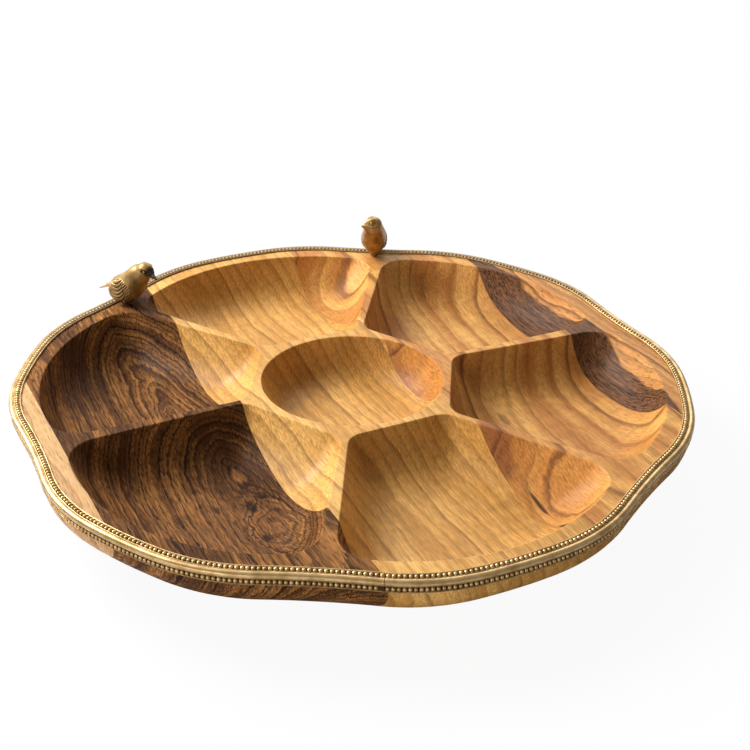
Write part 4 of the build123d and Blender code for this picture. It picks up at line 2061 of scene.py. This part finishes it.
@dataclass(frozen=True)
class Studio:
    """White paper floor, soft lights and the camera."""

    lamps: tuple[Lamp, ...] = (
        Lamp("key_light", (-835.0, 388.0, 770.0), 700.0, 23.5),
        Lamp("top_light", (100.0, -50.0, 1300.0), 1100.0, 1.0),
        Lamp("back_light", (60.0, 1080.0, 690.0), 1000.0, 6.0),
        Lamp("front_light", (-520.0, -1050.0, 130.0), 800.0, 5.0),
    )
    lamp_target: tuple[float, float, float] = (0.0, 0.0, 20.0)
    camera_place: tuple[float, float, float] = (49.61, -587.13, 368.5)
    camera_target: tuple[float, float, float] = (11.57, 4.29, 39.2)
    camera_roll: float = 0.82
    lens: float = 61.98
    sensor: float = 36.0
    nearest: float = 10.0
    ambient: float = 0.045
    reflected: float = 0.4
    floor_reaches: tuple[float, ...] = (1.0, 400.0, 1200.0, 4000.0)
    floor_sides: int = 24
    floor_height: float = -0.15
    paper_dim: Colour = shade(246, 246, 250)
    paper_bright: Colour = shade(250, 250, 253)
    paper_tooth: float = 2.0
    paper_roughness: float = 0.9
    paper_glow: tuple[float, float] = (0.94, 0.06)
    glow_reach: tuple[float, float] = (190.0, 300.0)

    def floor(self) -> bpy.types.Object:
        """Lays the white paper.

        Returns:
            The floor.
        """
        mesh = bmesh.new()
        rings = []
        for reach in self.floor_reaches:
            spots = lifted(circle(reach, self.floor_sides), self.floor_height)
            rings.append([mesh.verts.new(spot * MM) for spot in spots])
        mesh.faces.new(rings[0])
        for near, far in zip(rings, rings[1:]):
            for step in range(self.floor_sides):
                after = (step + 1) % self.floor_sides
                mesh.faces.new((near[step], far[step], far[after], near[after]))
        data = mesh_data("paper_floor", mesh)
        tree = ShaderTree(bpy.data.materials.new("white_paper"))
        place = tree.place_mm()
        flat = tree.vector("MULTIPLY", place, (1.0, 1.0, 0.0))
        away = tree.vector("LENGTH", flat, output=1)
        tooth = tree.grain_noise(tree.scaled(place, 1 / self.paper_tooth), 3.0)
        tint = tree.mixed(tooth, self.paper_dim, self.paper_bright)
        sockets = {"Base Color": tint, "Roughness": self.paper_roughness}
        paper = tree.node("ShaderNodeBsdfPrincipled", None, sockets)
        glow = tree.node("ShaderNodeEmission", None, {"Color": WHITE})
        seen = tree.node("ShaderNodeLightPath", output="Is Camera Ray")
        near, more = self.paper_glow
        amount = (near + away.step(*self.glow_reach) * more) * seen
        tree.output(tree.node("ShaderNodeMixShader", None, {0: amount, 1: paper, 2: glow}))
        floor = in_scene("paper_floor", data)
        data.materials.append(tree.owner)
        floor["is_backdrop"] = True
        return floor

    def light(self, plan: Lamp) -> bpy.types.Object:
        """Hangs one soft light, aimed at the dish.

        Args:
            plan: Its name, place, width and watts.

        Returns:
            The light.
        """
        lamp = bpy.data.lights.new(plan.name, "AREA")
        lamp.shape = "DISK"
        lamp.size = plan.size * MM
        lamp.energy = plan.power
        made = in_scene(plan.name, lamp)
        made.location = Vector(plan.place) * MM
        aim = Vector(self.lamp_target) - Vector(plan.place)
        made.rotation_euler = aim.to_track_quat("-Z", "Y").to_euler()
        made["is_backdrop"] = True
        return made

    def world(self) -> None:
        """Makes the surroundings white."""
        world = bpy.data.worlds.new("white_room")
        bpy.context.scene.world = world
        tree = ShaderTree(world)
        shown = self.glow(tree, self.ambient)
        levels = (("Is Glossy Ray", self.reflected), ("Is Camera Ray", 1.0))
        for ray, strength in levels:
            seen = tree.node("ShaderNodeLightPath", output=ray)
            inputs = {0: seen, 1: shown, 2: self.glow(tree, strength)}
            shown = tree.node("ShaderNodeMixShader", None, inputs)
        tree.output(shown, "ShaderNodeOutputWorld")

    @staticmethod
    def glow(tree: ShaderTree, strength: float) -> Signal:
        """Plain white light of a given strength."""
        inputs = {"Color": WHITE, "Strength": strength}
        return tree.node("ShaderNodeBackground", None, inputs)

    def camera(self) -> bpy.types.Object:
        """Sets the camera where the photograph was taken from.

        Returns:
            The camera.
        """
        lens = bpy.data.cameras.new("camera")
        lens.lens = self.lens
        lens.sensor_width = self.sensor
        lens.clip_start = self.nearest * MM
        made = in_scene("camera", lens)
        place = Vector(self.camera_place) * MM
        look = (Vector(self.camera_target) * MM - place).normalized()
        right = look.cross(Vector(UP)).normalized()
        up = right.cross(look)
        angle = math.radians(self.camera_roll)
        tilted = right * math.cos(angle) + up * math.sin(angle)
        raised = up * math.cos(angle) - right * math.sin(angle)
        turn = Matrix((tilted, raised, -look)).transposed().to_4x4()
        made.matrix_world = Matrix.Translation(place) @ turn
        bpy.context.scene.camera = made
        return made

    def build(self) -> None:
        """Sets up floor, lights, surroundings and camera."""
        scene = bpy.context.scene
        scene.view_settings.view_transform = "Standard"
        self.floor()
        self.world()
        for plan in self.lamps:
            self.light(plan)
        self.camera()


class Finishes:
    """Every finish on the dish."""

    board_a = WoodFinish(
        "light_wood", shade(216, 170, 114), shade(196, 142, 88), shade(124, 76, 42),
        pith_across=-330.0, pith_height=-40.0, spacing=5.0, line_strength=0.45,
        vein_strength=0.45, pore_strength=0.5, seed=300.0,
    )
    board_b = WoodFinish(
        "dark_figured_wood", shade(168, 113, 60), shade(92, 57, 29), shade(26, 13, 7),
        pith_across=-79.0, pith_height=12.0, lean=0.0, slant=-0.08, taper=0.1,
        spacing=2.3, line_start=0.3, line_strength=0.95, band_width=6.0, sway=1.6,
        sway_length=50.0, ripple=1.9, jag=1.3, fibre=1.5, streak=2.2, vein_width=2.6,
        vein_strength=0.6, pore_strength=0.75, mottle=0.4, sheen=0.06, seed=40.0,
        knots=(
            Knot(-120.0, 27.0, 14.0, 4.0, 8.0),
            Knot(-99.0, -6.0, 12.0, -4.0, 8.0),
            Knot(-41.5, -81.5, 15.0, 5.0, 10.0),
            Knot(-31.0, -109.5, 16.0, -5.0, 12.0),
        ),
        stains=(
            Stain(-48.0, -112.0, 38.0, 24.0, shade(156, 106, 62), 0.55, 0.7),
            Stain(-41.0, -88.0, 4.5, 2.6, shade(38, 22, 14), 0.85, 0.6),
            Stain(-29.0, -113.0, 4.0, 3.0, shade(38, 22, 14), 0.85, 0.6),
            Stain(-56.0, -93.0, 4.0, 2.0, shade(38, 22, 14), 0.7, 0.6),
        ),
    )
    board_c = WoodFinish(
        "golden_wood", shade(238, 182, 100), shade(208, 150, 70), shade(126, 72, 26),
        pith_across=-255.0, pith_height=-70.0, lean=0.03, spacing=6.2, line_start=0.55,
        line_strength=0.65, band_width=22.0, sway=3.0, ripple=1.4, jag=0.25,
        fibre=0.8, streak=1.1, vein_width=5.0, vein_strength=0.16, pore_strength=0.25,
        mottle=0.3, shimmer=0.4, sheen=0.22, seed=0.0,
    )
    board_d = WoodFinish(
        "brown_wood", shade(232, 174, 94), shade(196, 130, 62), shade(88, 44, 24),
        pith_across=-100.0, pith_height=130.0, lean=0.02, spacing=10.0, line_start=0.64,
        line_strength=0.75, fibre=0.7, streak=1.1, band_width=20.0, sway=4.0, ripple=1.6,
        jag=0.3, vein_width=6.0, vein_strength=0.15, pore_strength=0.25, mottle=0.35,
        shimmer=0.4, sheen=0.15, seed=-120.0,
        knots=(
            Knot(108.0, -80.0, 24.0, 7.0, 7.0),
        ),
        stains=(
            Stain(108.0, -76.0, 24.0, 15.0, shade(226, 156, 82), 0.6, 0.4),
            Stain(75.0, -50.0, 16.0, 6.5, shade(132, 74, 42), 0.7, 0.3),
            Stain(22.0, 28.0, 22.0, 6.0, shade(150, 92, 56), 0.55, 0.5),
            Stain(91.0, -87.0, 20.0, 2.4, shade(112, 60, 28), 0.6, 0.5),
            Stain(95.0, -78.0, 10.0, 1.0, shade(44, 24, 14), 0.85, 0.3),
            Stain(106.0, -101.0, 3.5, 1.1, shade(44, 24, 14), 0.85, 0.3),
            Stain(80.5, 1.0, 6.0, 2.6, shade(92, 50, 28), 0.45, 0.5),
        ),
    )
    board_e = WoodFinish(
        "sapwood", shade(222, 162, 96), shade(204, 142, 80), shade(66, 38, 22),
        pith_across=-20.0, pith_height=-60.0, lean=0.05, spacing=4.6, line_start=0.3,
        line_strength=0.7, band_width=9.0, ripple=1.8, jag=0.6, vein_width=1.8,
        vein_strength=0.85, pore_strength=0.45, mottle=0.3, sheen=0.1, seed=70.0,
        heartwood=Heartwood(151.0, 8.0, 350.0, shade(100, 66, 43), 0.94, 1.6),
    )
    strip = BrassFinish("aged_brass_strip", roughness=0.4, back_shade=0.8)
    birds = BrassFinish(
        "aged_brass_bird", shade(174, 136, 74), shade(124, 92, 46), shade(44, 30, 14),
        roughness=0.42, metallic=0.45,
    )
    studs = SteelFinish("stud_steel")


def write_size(key: str, sizes: dict[str, list]) -> None:
    """Notes the object's box.

    Args:
        key: When it was taken.
        sizes: The boxes so far, added to.
    """
    low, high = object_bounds()
    sizes[key] = [[float(part) for part in low], [float(part) for part in high]]


def main() -> None:
    """Builds the dressed dish and the studio round it."""
    logging.basicConfig(level=logging.INFO)
    sizes: dict[str, list] = {}
    write_size("cad", sizes)
    finishes = Finishes()
    dish = WoodenDish()
    whole = dish.whole()
    for letter in BoardLetter:
        board = dish.board(whole, letter, getattr(finishes, letter.value))
        log.info("%s: %d faces", board.name, len(board.data.polygons))
    whole.free()
    strip = RimStrip().build(finishes.strip)
    log.info("%s: %d faces", strip.name, len(strip.data.polygons))
    bird_brass = finishes.birds.material()
    stud_steel = finishes.studs.material()
    flock = (
        Bird(
            "bird_back", BACK_BEARING, -63.0, head=(10.4, 24.6), wing=(-4.2, 10.4),
            beak_drop=-0.16, eye_lift=32.0, eye_size=1.45, mantle=0.16,
            beak_length=0.75, wing_spread=4.7, girth=0.97, belly=(1.4, 11.0),
        ),
        Bird(
            "bird_left", LEFT_BEARING, -10.0, head=(15.6, 23.2), wing=(0.8, 9.6),
            climb=34.0, beak_drop=0.2, beak_length=1.25, head_size=4.95, eye_lift=14.0,
            eye_spread=46.0, tail_tip=3.2, painted_face_shade=1.0,
        ),
    )
    for plan in flock:
        bird = plan.build(finishes.birds, bird_brass)
        log.info("%s: %d faces", bird.name, len(bird.data.polygons))
    for name in ("bird_stud_back", "bird_stud_left"):
        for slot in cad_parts[name].material_slots:
            slot.material = stud_steel
    Studio().build()
    write_size("dressed", sizes)


if __name__ == "__main__":
    main()
